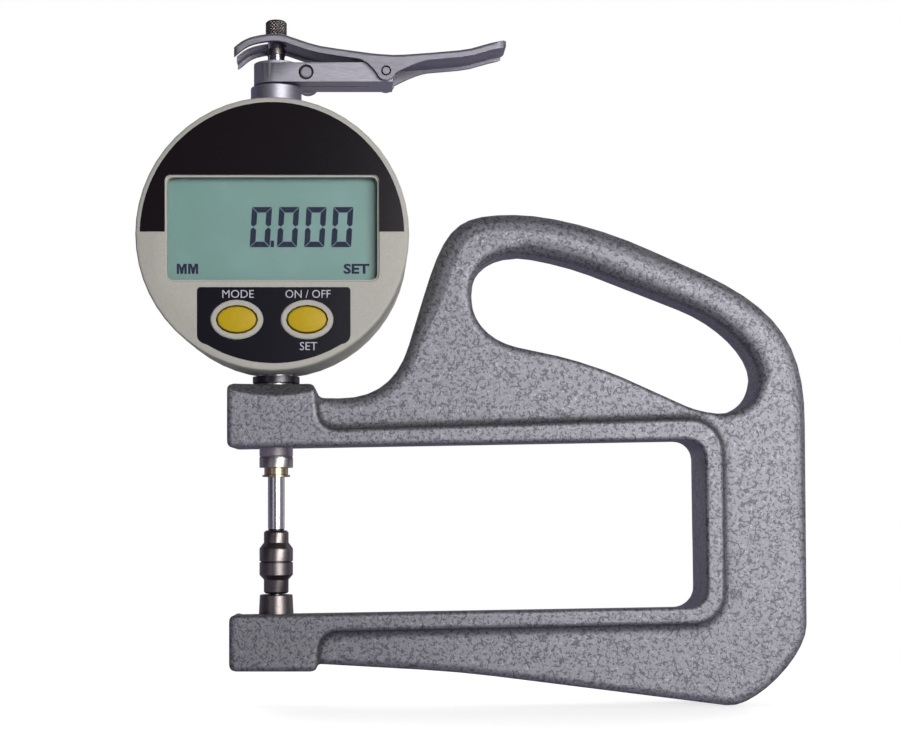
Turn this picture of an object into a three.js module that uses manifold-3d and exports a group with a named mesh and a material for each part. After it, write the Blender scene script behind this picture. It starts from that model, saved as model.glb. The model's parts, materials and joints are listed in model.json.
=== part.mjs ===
// Digital thickness gauge: a cast C frame with an oval handle carries a round
// digital indicator, whose spindle is raised by a forked lifting lever.
// Millimetres, +Z up along the spindle, the display looks along -Y, +X points
// into the throat. The origin is where the spindle axis meets the underside
// of the lower jaw block.

import * as THREE from 'three';
import { mergeVertices } from 'three/addons/utils/BufferGeometryUtils.js';
import Module from 'manifold-3d';

const wasm = await Module();
wasm.setup();

// Clearances that every piece shares
const seatGap = 0.3;          // between a piece and what it rests on or is cut by
const runningGap = 0.3;       // radial, round a piece that slides or turns
const overrun = 2;            // how far a cutter passes the face that it cuts

// Frame casting
const frameThickness = 20;    // over the ribs and the jaw blocks
const webRecess = 2.4;        // the web lies this far below the rib on each side
const throatDepth = 100.4;    // spindle axis to the back wall of the throat
const backWidth = 24.4;       // back wall of the throat to the rear edge
const jawGap = 38.9;          // lower block's top to the upper block's underside
const lowerBlockHeight = 13.2;
const upperBlockHeight = 15.1;
const lowerBlockReach = 10.5; // spindle axis to the free end of the block
const upperBlockReach = 11;
const blockInnerReach = 10;   // spindle axis to the block's side at the arm
const blockTaper = 0.6;       // the block widens this much towards the rib
const armRise = 1.9;          // both arms climb this much towards the back
const armDepth = 11.8;        // upper arm over the throat, at the valley
const ribWidth = 4.2;         // behind the throat
const upperRibWidth = 4.6;
const lowerRibWidth = 3.8;
const ribSpread = 0.5;        // the upper rib widens by this much each way along the arm
const handleRise = 55.2;      // top of the handle over the throat
const footDrop = 10.6;        // the rear bottom corner, before it is rounded
const throatCornerRadius = 4.2;
const ribCornerRadius = 8;
const blockRootRadius = 4.2;  // hollow corner between a block and the rib
const blockCornerRadius = 1.4;
const lowerDraft = 1.2;       // the throat opens this much towards the back of the casting
const wallDraft = 0.35;
const upperDraft = 0.1;
const castEdge = 0.6;         // rounding of the rib's edges
const blockEdge = 1;
const ribRoot = 2;            // hollow fillet at the foot of the rib
const ribRootRise = 1.3;      // how high that fillet climbs
const handleEdge = 4.3;       // rounding of the grip
const handleInnerEdge = 3.4;
const columnEdge = 1.8;       // rounding of the rear edge and the foot
const holeLowerEdge = 0.8;
const headReliefGap = 5.2;    // scooped clearance in the block under the head
const headReliefDepth = 5;    // how far back the scoop reaches
const headReliefRise = 3;     // how much narrower the scoop is at its back

// Anvil on the lower block
const anvilRadius = 4;
const anvilNeckRadius = 2.95;
const anvilFaceLength = 2.95;
const anvilChamfer = 1.15;
const anvilNeckLength = 3.3;
const anvilFootChamfer = 0.4;
const anvilShankRadius = 1.5;
const anvilShankLength = 3;
const holderRadius = 3.9;
const holderFlare = 0.25;     // the holder is this much wider at its foot
const holderHeight = 4.8;
const anvilSeatDrop = 0.9;    // spot face under the front edge of the block
const anvilSeatRim = 0.8;     // spot face beyond the holder
const holderShankRadius = 3;
const holderShankLength = 8.5;
const setScrewRadius = 2;     // both grub screws in the casting
const setScrewLength = 5;
const hexSocketShare = 0.55;  // socket over the radius of its screw
const hexSocketDepth = 1.8;

// Indicator stem in the upper block
const stemRadius = 4;
const stemBelow = 4.5;        // stem below the upper block
const stemCollarRadius = 5.6;
const stemCollarHeight = 1.6;
const stemInside = 4;         // stem inside the head
const stemGroovePlace = 1.7;  // under the upper block
const stemGrooveWidth = 0.35;
const stemGrooveDepth = 0.2;
const bushRadius = 2.85;      // guide bush below the stem
const bushHeight = 1.4;
const bushFlangeRadius = 3.3;
const bushFlangeHeight = 0.5;
const bushShankRadius = 3.1;
const bushShankLength = 6;

// Spindle and what it carries
const spindleRadius = 2;
const spindleTravel = 12.5;
const contactRadius = 4;
const contactNeckRadius = 2.95;
const contactFaceLength = 3;
const contactChamfer = 1.4;
const contactNeckLength = 2.9;
const contactEdge = 0.5;
const capRadius = 2.55;
const capHeight = 4.1;
const capEdge = 0.5;
const lockNutRadius = 2.25;
const lockNutHeight = 1.4;
const lockNutDrop = 1.3;      // below the web of the lever

// Head
const headRadius = 31.3;
const headFront = 17;         // spindle axis to the face
const headSplit = 3.5;        // spindle axis to the joint of the two shells
const headBack = 10;          // spindle axis to the back
const headWall = 2;
const rimEdge = 0.9;
const edgeCutShare = 0.3;     // where one facet stands for a round edge
const backEdge = 1.6;
const headClearance = 2.3;    // head above the upper block
const windowWidth = 48;
const windowHeight = 23.4;
const windowLift = 1.2;       // window centre above the head centre
const windowCorner = 1.3;
const windowBevel = 0.45;
const windowPaneLap = 1.1;    // the pane reaches this far behind the wall
const windowPaneThickness = 1;
const lcdThickness = 2.4;
const lcdLap = 1.4;
const boardThickness = 1.6;
const boardWidth = 40;
const boardTop = 15;          // over the head centre
const boardBottom = 14;       // under the head centre
const boardTabWidth = 27;
const boardTabInset = 5.3;    // end of the tab inside the wall
const buttonSpacing = 16;     // between the two button centres
const buttonPlaceShare = 0.44; // buttons between the window and the rim of the case
const buttonHalfWidth = 4.46;
const buttonHalfHeight = 2.95;
const buttonTravel = 0.5;
const buttonProud = 0.7;
const buttonDome = 0.35;
const buttonFlange = 0.9;
const buttonFlangeThickness = 0.7;
const buttonStemRadius = 1.6;
const buttonRingWidth = 1.1;
const buttonRingProud = 0.35;
const buttonGap = 0.35;
const switchRadius = 2.5;
const switchHeight = 0.7;
const screwBossRadius = 2.6;
const screwBossInset = 0.7;   // bosses inside the wall
const screwRadius = 1;
const screwHeadRadius = 1.9;
const screwHeadHeight = 1.1;
const screwLength = 8;
const screwSlotWidth = 0.5;
const screwSlotDepth = 0.5;

// Measuring system and battery
const carrierWidth = 11;
const carrierDepth = 8;
const carrierHeight = 7;
const carrierRoom = 3.8;      // between the raised carrier and the top bush
const scaleWidth = 5;
const scaleLength = 22;
const scaleThickness = 0.8;
const readerWidth = 9;
const readerHeight = 8;
const readerThickness = 1.3;
const pinRadius = 1;
const pinLength = 4.6;
const railWidth = 4.5;
const railOverlap = 2.5;      // rail above the raised carrier
const railBelow = 2;          // rail below the carrier
const railDepth = 6;
const railEnd = 0.6;          // rail below its slot
const railFoot = 0.4;         // how much deeper the rail's slot is than the pin
const springRadius = 1.5;
const springWire = 0.25;
const springOffset = 7.2;     // beside the spindle
const springTurns = 12;
const springSides = 5;
const springSteps = 8;
const springPostRadius = 1;
const springPostInset = 1;    // post inside the wall
const batteryRadius = 10;
const batteryThickness = 3.2;
const batteryInset = 3.3;     // battery cup inside the wall
const batteryWall = 1.4;
const batteryCapRadius = 10.9;
const coinSlotWidth = 1.8;
const coinSlotDepth = 0.9;
const coinSlotLengthShare = 0.75;

// Lifting gear over the head
const topCollarRadius = 6.05;
const topCollarHeight = 5.7;
const topBushRadius = 3.05;
const topBushInside = 4;      // bush inside the head
const topBushProud = 0.5;     // bush above the hub of the clamp block
const clampGap = 0.5;         // between the collar and the clamp block
const clampHeight = 4.5;
const clampHubProud = 0.6;
const clampHalfDepth = 5.3;
const clampEnd = 1.9;         // pivot to the end of the bar
const clampEndRadius = 1.9;
const clampEdge = 0.35;
const slitEnd = 4.5;          // pivot to the end of the slit
const slitWidth = 0.8;
const clampScrewReach = 7.3;
const clampScrewRadius = 1.5;
const clampScrewTip = 0.35;
const clampScrewHeadRadius = 2.75;
const clampScrewHeadHeight = 2;
const socketDepthShare = 0.6; // socket over the height of the head
const pivotReach = 26.1;
const pivotRadius = 0.9;
const leverSheet = 1;
const leverFlange = 1.75;     // flange below the top edge
const leverTopLift = 8.8;     // lever's crest over the pivot
const leverTail = 28.3;       // pivot to the handle end
const forkReach = 9.6;        // spindle axis to the forked end
const leverLobe = 2.2;        // round ear at the pivot
const leverLobeFlare = 4.6;   // the ear spreads into the flange over this length
const leverSideGap = 0.35;    // lever flange to the clamp block
const leverEdgeShare = 0.7;   // rounding of the fold, of the sheet
const leverTailCorner = 2.6;  // corners of the handle end, seen from above
const leverNoseCorner = 1;
const earSpreadShare = 0.42;  // of a half turn, each way round the pivot
const flarePullShare = 1.3;   // how far the flare reaches along the flange, of the ear
const forkWidth = 4.8;
const forkBackGap = 0.5;      // end of the fork slot behind the spindle

// How finely round shapes are faceted
const fineSides = 56;
const roundSides = 26;
const smallSides = 16;
const ovalSteps = 8;
const leverSteps = 30;
const earSteps = 8;
const flareSteps = 6;
const tinySides = 12;
const edgeSteps = 3;
const bendFineness = 0.8;     // turn of each facet of a bend, over the root of its radius
const bendLimit = Math.PI / 7;
const bendRoomShare = 0.49;   // the most of a side that a rounded corner takes
const sharpestShare = 0.5;    // keeps offsets at a sharp corner short
const mergeDistance = 0.25;   // points of an outline closer than this become one
const sliverSize = 0.03;      // facets thinner than this are closed up

// Heights that follow from the sizes above
const frameHalf = frameThickness / 2;
const webHalf = frameHalf - webRecess;
const lowerBlockTop = lowerBlockHeight;
const upperBlockBottom = lowerBlockTop + jawGap;
const upperBlockTop = upperBlockBottom + upperBlockHeight;
const bodyReach = throatDepth + backWidth;
const anvilSeat = lowerBlockTop - anvilSeatDrop;
const holderTop = anvilSeat + seatGap + holderHeight;
const anvilLength = anvilFaceLength + anvilChamfer + anvilNeckLength;
const anvilFace = holderTop + seatGap + anvilLength;
const contactFace = anvilFace + seatGap;
const contactTop = contactFace + contactFaceLength + contactChamfer + contactNeckLength;
const stemBottom = upperBlockBottom - stemBelow;
const headCentre = upperBlockTop + headClearance + headRadius;
const topCollarBottom = headCentre + headRadius - headWall / 2;
const topCollarTop = topCollarBottom + topCollarHeight + headWall / 2;
const clampBottom = topCollarTop + clampGap;
const clampTop = clampBottom + clampHeight;
const clampMiddle = (clampBottom + clampTop) / 2;
const pivotHeight = clampMiddle;
const leverNose = pivotReach + forkReach;
const clampReach = pivotReach + clampEnd;
const slitReach = pivotReach - slitEnd;
const leverHalfWidth = clampHalfDepth + leverSideGap + leverSheet;
const leverCrest = pivotHeight + leverTopLift;
const capBottom = leverCrest + seatGap;

// Turns a closed geometry into a solid that can be joined and cut
function toSolid(geometry) {
  const bare = geometry.index ? geometry.toNonIndexed() : geometry.clone();
  bare.deleteAttribute('normal');
  bare.deleteAttribute('uv');
  const merged = mergeVertices(bare, 1e-4);
  const triangles = [];
  for (let i = 0; i < merged.index.count; i += 3) {
    const [a, b, c] = [merged.index.array[i], merged.index.array[i + 1], merged.index.array[i + 2]];
    if (a !== b && b !== c && c !== a) triangles.push(a, b, c);
  }
  return new wasm.Manifold(new wasm.Mesh({
    numProp: 3,
    vertProperties: new Float32Array(merged.attributes.position.array),
    triVerts: new Uint32Array(triangles),
  }));
}

// Turns a solid back into a named mesh of the model
function toMesh(name, solid, material) {
  const mesh = solid.simplify(sliverSize).getMesh();
  const geometry = new THREE.BufferGeometry();
  const points = [];
  for (let i = 0; i < mesh.numVert; i += 1) {
    const at = i * mesh.numProp;
    points.push(mesh.vertProperties[at], mesh.vertProperties[at + 1], mesh.vertProperties[at + 2]);
  }
  geometry.setAttribute('position', new THREE.Float32BufferAttribute(points, 3));
  geometry.setIndex(Array.from(mesh.triVerts));
  geometry.computeVertexNormals();
  const result = new THREE.Mesh(geometry, material);
  result.name = name;
  return result;
}

function join(first, ...others) {
  return others.reduce((sum, next) => sum.add(next), first);
}

function cut(first, ...others) {
  return others.reduce((rest, next) => rest.subtract(next), first);
}

// A box between two corners
function box(x0, x1, y0, y1, z0, z1) {
  const geometry = new THREE.BoxGeometry(x1 - x0, y1 - y0, z1 - z0);
  geometry.translate((x0 + x1) / 2, (y0 + y1) / 2, (z0 + z1) / 2);
  return toSolid(geometry);
}

// A solid of revolution about the vertical line through (x, y); profile is [radius, z]
function turned(profile, sides, x = 0, y = 0) {
  const points = profile.map(([radius, z]) => new THREE.Vector2(radius, z));
  const geometry = new THREE.LatheGeometry(points, sides);
  geometry.rotateX(Math.PI / 2);
  geometry.translate(x, y, 0);
  return toSolid(geometry);
}

// A solid of revolution about a line along Y through (x, z); profile is [radius, y]
function turnedDeep(profile, sides, x, z) {
  const points = profile.map(([radius, y]) => new THREE.Vector2(radius, y));
  const geometry = new THREE.LatheGeometry(points, sides);
  geometry.translate(x, 0, z);
  return toSolid(geometry);
}

// A solid of revolution about a line along X through (y, z); profile is [radius, x]
function turnedAcross(profile, sides, y, z) {
  const points = profile.map(([radius, x]) => new THREE.Vector2(radius, x));
  const geometry = new THREE.LatheGeometry(points, sides);
  geometry.rotateZ(-Math.PI / 2);
  geometry.translate(0, y, z);
  return toSolid(geometry);
}

// A plain rod profile between two stations
function rod(radius, from, to) {
  return [[0, from], [radius, from], [radius, to], [0, to]];
}

// A tube profile, closed on itself
function tube(inner, outer, from, to) {
  return [[inner, from], [outer, from], [outer, to], [inner, to], [inner, from]];
}

// A hexagonal socket along Y whose mouth is at mouthY and which runs to endY
function hexSocket(radius, x, z, mouthY, endY) {
  return turnedDeep(rod(radius, Math.min(mouthY, endY), Math.max(mouthY, endY)), 6, x, z);
}

// A flat shape in X and Z, pushed along Y from y0 to y1
function pushedDeep(shape, y0, y1, curveSegments = 12) {
  const settings = { depth: y1 - y0, bevelEnabled: false, curveSegments };
  const geometry = new THREE.ExtrudeGeometry(shape, settings);
  geometry.rotateX(Math.PI / 2);
  geometry.translate(0, y1, 0);
  return toSolid(geometry);
}

// A flat shape in X and Y, pushed up from z0 to z1
function pushedUp(shape, z0, z1, curveSegments = 12) {
  const settings = { depth: z1 - z0, bevelEnabled: false, curveSegments };
  const geometry = new THREE.ExtrudeGeometry(shape, settings);
  geometry.translate(0, 0, z0);
  return toSolid(geometry);
}

function shapeOf(points) {
  return new THREE.Shape(points.map(([x, z]) => new THREE.Vector2(x, z)));
}

function roundedRectangle(x, z, width, height, radius) {
  const outline = [
    { at: [x - width / 2, z - height / 2], radius },
    { at: [x + width / 2, z - height / 2], radius },
    { at: [x + width / 2, z + height / 2], radius },
    { at: [x - width / 2, z + height / 2], radius },
  ];
  return shapeOf(bend(outline).map((point) => [point.x, point.z]));
}

function ovalShape(x, z, halfWidth, halfHeight) {
  const shape = new THREE.Shape();
  shape.absellipse(x, z, halfWidth, halfHeight, 0, 2 * Math.PI);
  return shape;
}

// Rounds the corners of an outline. A corner is rounded by its radius, or it
// leaves and meets its two sides at shares of their lengths, with a bulge
// that says how full the bend is. The other values of a corner are passed on
// to its points: edge and root say how the rim of a plate is shaped, and draft
// how far its two sides lean.
function bend(corners) {
  const points = [];
  corners.forEach((corner, index) => {
    const before = corners[(index + corners.length - 1) % corners.length];
    const after = corners[(index + 1) % corners.length];
    const here = new THREE.Vector2(...corner.at);
    const back = new THREE.Vector2(...before.at).sub(here);
    const ahead = new THREE.Vector2(...after.at).sub(here);
    const turn = Math.PI - Math.abs(back.angleTo(ahead));
    let leadLength = back.length() * (corner.leadShare ?? 0);
    let trailLength = ahead.length() * (corner.trailShare ?? 0);
    let bulge = corner.bulgeShare ?? 0;
    if (corner.radius) {
      const room = bendRoomShare * Math.min(back.length(), ahead.length());
      leadLength = Math.min(corner.radius * Math.tan(turn / 2), room);
      trailLength = leadLength;
      bulge = (4 / 3) * Math.tan(turn / 4) / Math.tan(turn / 2);
    }
    const [draftIn, draftOut] = corner.draft ?? [0, 0];
    const values = { edge: corner.edge ?? 0, root: corner.root ?? 0 };
    if (leadLength === 0 || turn < 1e-3) {
      points.push({ x: here.x, z: here.y, ...values, draft: draftIn });
      return;
    }
    const start = here.clone().addScaledVector(back, leadLength / back.length());
    const end = here.clone().addScaledVector(ahead, trailLength / ahead.length());
    const curve = new THREE.CubicBezierCurve(
      start,
      start.clone().lerp(here, bulge),
      end.clone().lerp(here, bulge),
      end,
    );
    const size = Math.max(leadLength, trailLength) / Math.tan(turn / 2);
    const steps = Math.max(2, Math.ceil(turn / Math.min(bendLimit, bendFineness / Math.sqrt(size))));
    curve.getPoints(steps).forEach((point, step) => {
      const draft = draftIn + (draftOut - draftIn) * step / steps;
      points.push({ x: point.x, z: point.y, ...values, draft });
    });
  });
  const apart = points.filter((point, index) => {
    const before = points[(index + points.length - 1) % points.length];
    return Math.hypot(point.x - before.x, point.z - before.z) > mergeDistance;
  });
  return apart.filter((point, index) => {
    const before = apart[(index + apart.length - 1) % apart.length];
    const after = apart[(index + 1) % apart.length];
    const turnArea = (point.x - before.x) * (after.z - point.z) - (point.z - before.z) * (after.x - point.x);
    return Math.abs(turnArea) > 1e-5;
  });
}

// Direction into the material at each point of an outline that keeps the
// material on its left, lengthened at corners so that offsets stay parallel
function inwardDirections(points) {
  return points.map((point, index) => {
    const before = points[(index + points.length - 1) % points.length];
    const after = points[(index + 1) % points.length];
    const first = new THREE.Vector2(-(point.z - before.z), point.x - before.x).normalize();
    const second = new THREE.Vector2(-(after.z - point.z), after.x - point.x).normalize();
    const sum = first.clone().add(second);
    return sum.multiplyScalar(1 / Math.max(1 + first.dot(second), sharpestShare));
  });
}

// A plate in the X-Z plane whose rim is shaped point by point. From the
// front face the rim is rounded by edge, runs straight, and spreads into a
// hollow foot by root where it meets a thinner plate at footHalf.
function plate(outlineCorners, holeCorners, half, footHalf = 0, footRise = 0) {
  const loops = [outlineCorners, ...holeCorners].map((corners, index) => {
    const points = bend(corners);
    const area = THREE.ShapeUtils.area(points.map((p) => new THREE.Vector2(p.x, p.z)));
    const wanted = index === 0 ? area > 0 : area < 0;
    return wanted ? points : points.reverse();
  });
  const frontRings = [];
  for (let step = 0; step <= edgeSteps; step += 1) {
    const angle = (step / edgeSteps) * Math.PI / 2;
    frontRings.push((p) => ({
      inset: p.edge * (1 - Math.sin(angle)),
      depth: half - p.edge * (1 - Math.cos(angle)),
    }));
  }
  if (footHalf > 0) {
    for (let step = 0; step <= edgeSteps; step += 1) {
      const angle = (step / edgeSteps) * Math.PI / 2;
      frontRings.push((p) => ({
        inset: -p.root * (1 - Math.cos(angle)),
        depth: footHalf + footRise * (1 - Math.sin(angle)) - (step === edgeSteps ? seatGap : 0),
      }));
    }
  }
  const rings = [
    ...frontRings.map((ring) => (p) => ({ inset: ring(p).inset, y: -ring(p).depth })),
    ...frontRings.reverse().map((ring) => (p) => ({ inset: ring(p).inset, y: ring(p).depth })),
  ];
  const positions = [];
  const triangles = [];
  const capLoops = [[], []];
  loops.forEach((points) => {
    const inward = inwardDirections(points);
    const first = positions.length / 3;
    rings.forEach((ring, ringIndex) => {
      points.forEach((point, index) => {
        const { inset, y } = ring(point);
        const drawn = inset + point.draft * (y + half) / (2 * half);
        const x = point.x + inward[index].x * drawn;
        const z = point.z + inward[index].y * drawn;
        positions.push(x, y, z);
        if (ringIndex === 0) capLoops[0].push({ x, z, vertex: first + index });
      });
      if (ringIndex === 0) return;
      for (let index = 0; index < points.length; index += 1) {
        const next = (index + 1) % points.length;
        const a = first + (ringIndex - 1) * points.length + index;
        const b = first + (ringIndex - 1) * points.length + next;
        const c = b + points.length;
        const d = a + points.length;
        triangles.push(a, c, b, a, d, c);
      }
    });
    capLoops[1].push(points.length);
  });
  const lastRing = rings.length - 1;
  let start = 0;
  const flatLoops = capLoops[1].map((count) => {
    const loop = capLoops[0].slice(start, start + count);
    start += count;
    return loop;
  });
  const flat = flatLoops.map((loop) => loop.map((p) => new THREE.Vector2(p.x, p.z)));
  const all = flatLoops.flat();
  const offsets = flatLoops.flatMap((loop) => loop.map(() => lastRing * loop.length));
  THREE.ShapeUtils.triangulateShape(flat[0], flat.slice(1)).forEach(([i, j, k]) => {
    const [p, q, r] = [all[i], all[j], all[k]];
    const area = (q.x - p.x) * (r.z - p.z) - (r.x - p.x) * (q.z - p.z);
    const [first, second, third] = area > 0 ? [i, j, k] : [i, k, j];
    triangles.push(all[first].vertex, all[second].vertex, all[third].vertex);
    triangles.push(
      all[first].vertex + offsets[first],
      all[third].vertex + offsets[third],
      all[second].vertex + offsets[second],
    );
  });
  const geometry = new THREE.BufferGeometry();
  geometry.setAttribute('position', new THREE.Float32BufferAttribute(positions, 3));
  geometry.setIndex(triangles);
  return toSolid(geometry);
}

const paint = {
  casting: { color: 0x8f9098, roughness: 0.45, metalness: 0.35 },
  steel: { color: 0x77767a, roughness: 0.3, metalness: 1 },
  chrome: { color: 0xc8c8cc, roughness: 0.12, metalness: 1 },
  brass: { color: 0xc9b98a, roughness: 0.3, metalness: 1 },
  aluminium: { color: 0xa3a3ad, roughness: 0.38, metalness: 1 },
  housing: { color: 0xb3b3a6, roughness: 0.55, metalness: 0 },
  button: { color: 0xe0bb2c, roughness: 0.35, metalness: 0 },
  glass: { color: 0x9fc0b4, roughness: 0.08, metalness: 0, transparent: true, opacity: 0.35 },
  lcd: { color: 0x88ab9f, roughness: 0.4, metalness: 0 },
  board: { color: 0x1f5a3a, roughness: 0.6, metalness: 0 },
  plastic: { color: 0x26262a, roughness: 0.6, metalness: 0 },
};

function material(name) {
  return new THREE.MeshStandardMaterial(paint[name]);
}

const model = new THREE.Group();
model.name = 'thickness_gauge';

function addPiece(name, solid, paintName) {
  model.add(toMesh(name, solid, material(paintName)));
}

// Frame casting

// Corners of the web and of the grip hole, as shares: the place along the
// frame's reach, the place up the handle's rise over the throat, how much of
// its two sides the bend takes on the way in and out, and how full it is
const webShares = {
  neck: [0.222, 0, 0.72, 0.29, 0.68],
  shoulder: [0.327, 1, 0.45, 0.52, 0.88],
  crown: [0.565, 1, 0.48, 0.34, 0.6],
  back: [1, 0.545, 0.44, 0.265, 0.75],
  foot: [1, 0, 0.23, 0.23, 0.35],
  toe: [0.348, 0, 0.1, 0.2, 0.6],
};
const gripShares = {
  frontTop: [0.37, 0.831, 0.5, 0.6, 0.6],
  crown: [0.516, 0.83, 0.38, 0.22, 0.5],
  backTop: [0.909, 0.489, 0.35, 0.55, 0.55],
  backFoot: [0.909, 0.143, 0.44, 0.7, 0.6],
  underBack: [0.8, 0.15, 0.25, 0.13, 0.5],
  underMiddle: [0.595, 0.359, 0.28, 0.28, 0.5],
  frontFoot: [0.37, 0.473, 0.38, 0.45, 0.6],
};
const lowerArmShare = 0.16;   // underside of the lower arm, of the block's height
const toeDropShare = 0.24;    // of the foot's drop
const neckEdgeShare = 1.5;    // edge of the neck, of the column's
const backEdgeShare = 0.8;    // edge at the back of the grip, of the handle's
const frontEdgeShare = 0.7;   // edge at the front of the hole
const lowerCornerShare = 0.9; // lower rib corner, of the upper one

// A corner of the casting from its shares, or at a height that is given
function castCorner([along, up, leadShare, trailShare, bulgeShare], edge, height) {
  const at = [bodyReach * along, height ?? upperBlockBottom + handleRise * up];
  return { at, leadShare, trailShare, bulgeShare, edge };
}

// The arms climb evenly from the spindle axis to the back wall
function armClimb(x) {
  return armRise * x / throatDepth;
}

const throatBottom = (x) => lowerBlockTop + armClimb(x);
const throatTop = (x) => upperBlockBottom + armClimb(x);

function makeFrame() {
  const valley = upperBlockBottom + armDepth;
  const webEnd = (valley + 2 * upperBlockTop) / 3;
  const armBottom = lowerBlockHeight * lowerArmShare;
  const ribMiddle = ribWidth / 2;
  const webOutline = [
    { at: [0, valley], edge: columnEdge },
    { at: [0, webEnd], edge: columnEdge },
    { at: [blockInnerReach - blockTaper, webEnd], edge: columnEdge },
    { at: [blockInnerReach + seatGap, valley], radius: blockRootRadius, edge: columnEdge },
    castCorner(webShares.neck, columnEdge * neckEdgeShare, valley),
    castCorner(webShares.shoulder, handleEdge),
    castCorner(webShares.crown, handleEdge),
    castCorner(webShares.back, handleEdge * backEdgeShare),
    castCorner(webShares.foot, columnEdge, -footDrop),
    castCorner(webShares.toe, columnEdge, armBottom - footDrop * toeDropShare),
    { at: [0, armBottom], edge: blockEdge },
    { at: [0, throatBottom(0) - ribMiddle] },
    { at: [throatDepth + ribMiddle, throatBottom(throatDepth) - ribMiddle] },
    { at: [throatDepth + ribMiddle, throatTop(throatDepth) + ribMiddle] },
    { at: [0, throatTop(0) + ribMiddle] },
  ];
  const gripHole = [
    castCorner(gripShares.frontTop, handleInnerEdge * frontEdgeShare),
    castCorner(gripShares.crown, handleInnerEdge),
    castCorner(gripShares.backTop, handleInnerEdge * backEdgeShare),
    castCorner(gripShares.backFoot, columnEdge),
    castCorner(gripShares.underBack, holeLowerEdge),
    castCorner(gripShares.underMiddle, holeLowerEdge),
    castCorner(gripShares.frontFoot, columnEdge),
  ];
  const ribTopStart = throatTop(0) + upperRibWidth - ribSpread;
  const ribTopEnd = throatTop(throatDepth) + upperRibWidth + ribSpread;
  const ribBottomStart = throatBottom(0) - lowerRibWidth;
  const ribBottomEnd = throatBottom(throatDepth) - lowerRibWidth;
  const ribBack = throatDepth + ribWidth;
  const upperInner = blockInnerReach + blockTaper;
  const ribOutline = [
    { at: [-upperBlockReach, upperBlockBottom], radius: blockCornerRadius, edge: blockEdge },
    { at: [-upperBlockReach, upperBlockTop], radius: blockCornerRadius, edge: blockEdge },
    { at: [blockInnerReach - blockTaper, upperBlockTop], radius: blockCornerRadius, edge: castEdge },
    { at: [upperInner, ribTopStart], radius: blockRootRadius, edge: castEdge, root: ribRoot },
    {
      at: [ribBack - seatGap, ribTopEnd],
      radius: ribCornerRadius, edge: castEdge, root: ribRoot,
    },
    {
      at: [ribBack + seatGap, ribBottomEnd],
      radius: ribCornerRadius * lowerCornerShare, edge: castEdge, root: ribRoot,
    },
    { at: [upperInner, ribBottomStart], radius: blockRootRadius, edge: castEdge, root: ribRoot },
    { at: [blockInnerReach, 0], radius: blockCornerRadius, edge: blockEdge },
    { at: [-lowerBlockReach, 0], radius: blockCornerRadius, edge: blockEdge },
    {
      at: [-lowerBlockReach, lowerBlockTop],
      radius: blockCornerRadius, edge: blockEdge, draft: [0, lowerDraft],
    },
    {
      at: [throatDepth + seatGap, throatBottom(throatDepth)],
      radius: throatCornerRadius, edge: castEdge, draft: [lowerDraft, wallDraft],
    },
    {
      at: [throatDepth - seatGap, throatTop(throatDepth)],
      radius: throatCornerRadius, edge: castEdge, draft: [wallDraft, upperDraft],
    },
  ];
  const web = plate(webOutline, [gripHole], webHalf);
  const rib = plate(ribOutline, [], frameHalf, webHalf, ribRootRise);
  const reliefRadius = headRadius + headReliefGap;
  const reliefBack = -frameHalf + headReliefDepth;
  const relief = turnedDeep([
    [0, -frameHalf - overrun],
    [reliefRadius + overrun * headReliefRise / headReliefDepth, -frameHalf - overrun],
    [reliefRadius - headReliefRise, reliefBack],
    [0, reliefBack],
  ], fineSides, 0, headCentre);
  const stemBore = turned(
    rod(stemRadius + seatGap, upperBlockBottom - overrun, upperBlockTop + overrun),
    roundSides,
  );
  const stemScrewHeight = (upperBlockBottom + upperBlockTop) / 2;
  const screwHole = rod(setScrewRadius + seatGap, 0, frameHalf + overrun);
  const stemScrewHole = turnedDeep(screwHole, smallSides, 0, stemScrewHeight);
  const anvilBore = turned(
    rod(holderShankRadius + seatGap, lowerBlockTop - holderShankLength - seatGap, lowerBlockTop + overrun),
    roundSides,
  );
  const anvilScrewHole = turnedDeep(screwHole, smallSides, 0, lowerBlockTop / 2);
  const spotFace = turned(
    rod(holderRadius + holderFlare + anvilSeatRim, anvilSeat, lowerBlockTop + overrun),
    roundSides,
  );
  const solid = cut(join(web, rib), relief, stemBore, stemScrewHole, anvilBore, anvilScrewHole, spotFace);
  addPiece('frame', solid, 'casting');
}

// A grub screw along Y that ends flush with the back of the casting
function grubScrew(z, pressesOn) {
  const tip = pressesOn + seatGap;
  const end = Math.min(tip + setScrewLength, frameHalf - seatGap);
  const body = turnedDeep([
    [0, tip],
    [setScrewRadius / 2, tip],
    [setScrewRadius, tip + setScrewRadius / 4],
    [setScrewRadius, end],
    [0, end],
  ], smallSides, 0, z);
  return cut(body, hexSocket(setScrewRadius * hexSocketShare, 0, z, end - hexSocketDepth, end + overrun));
}

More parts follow.
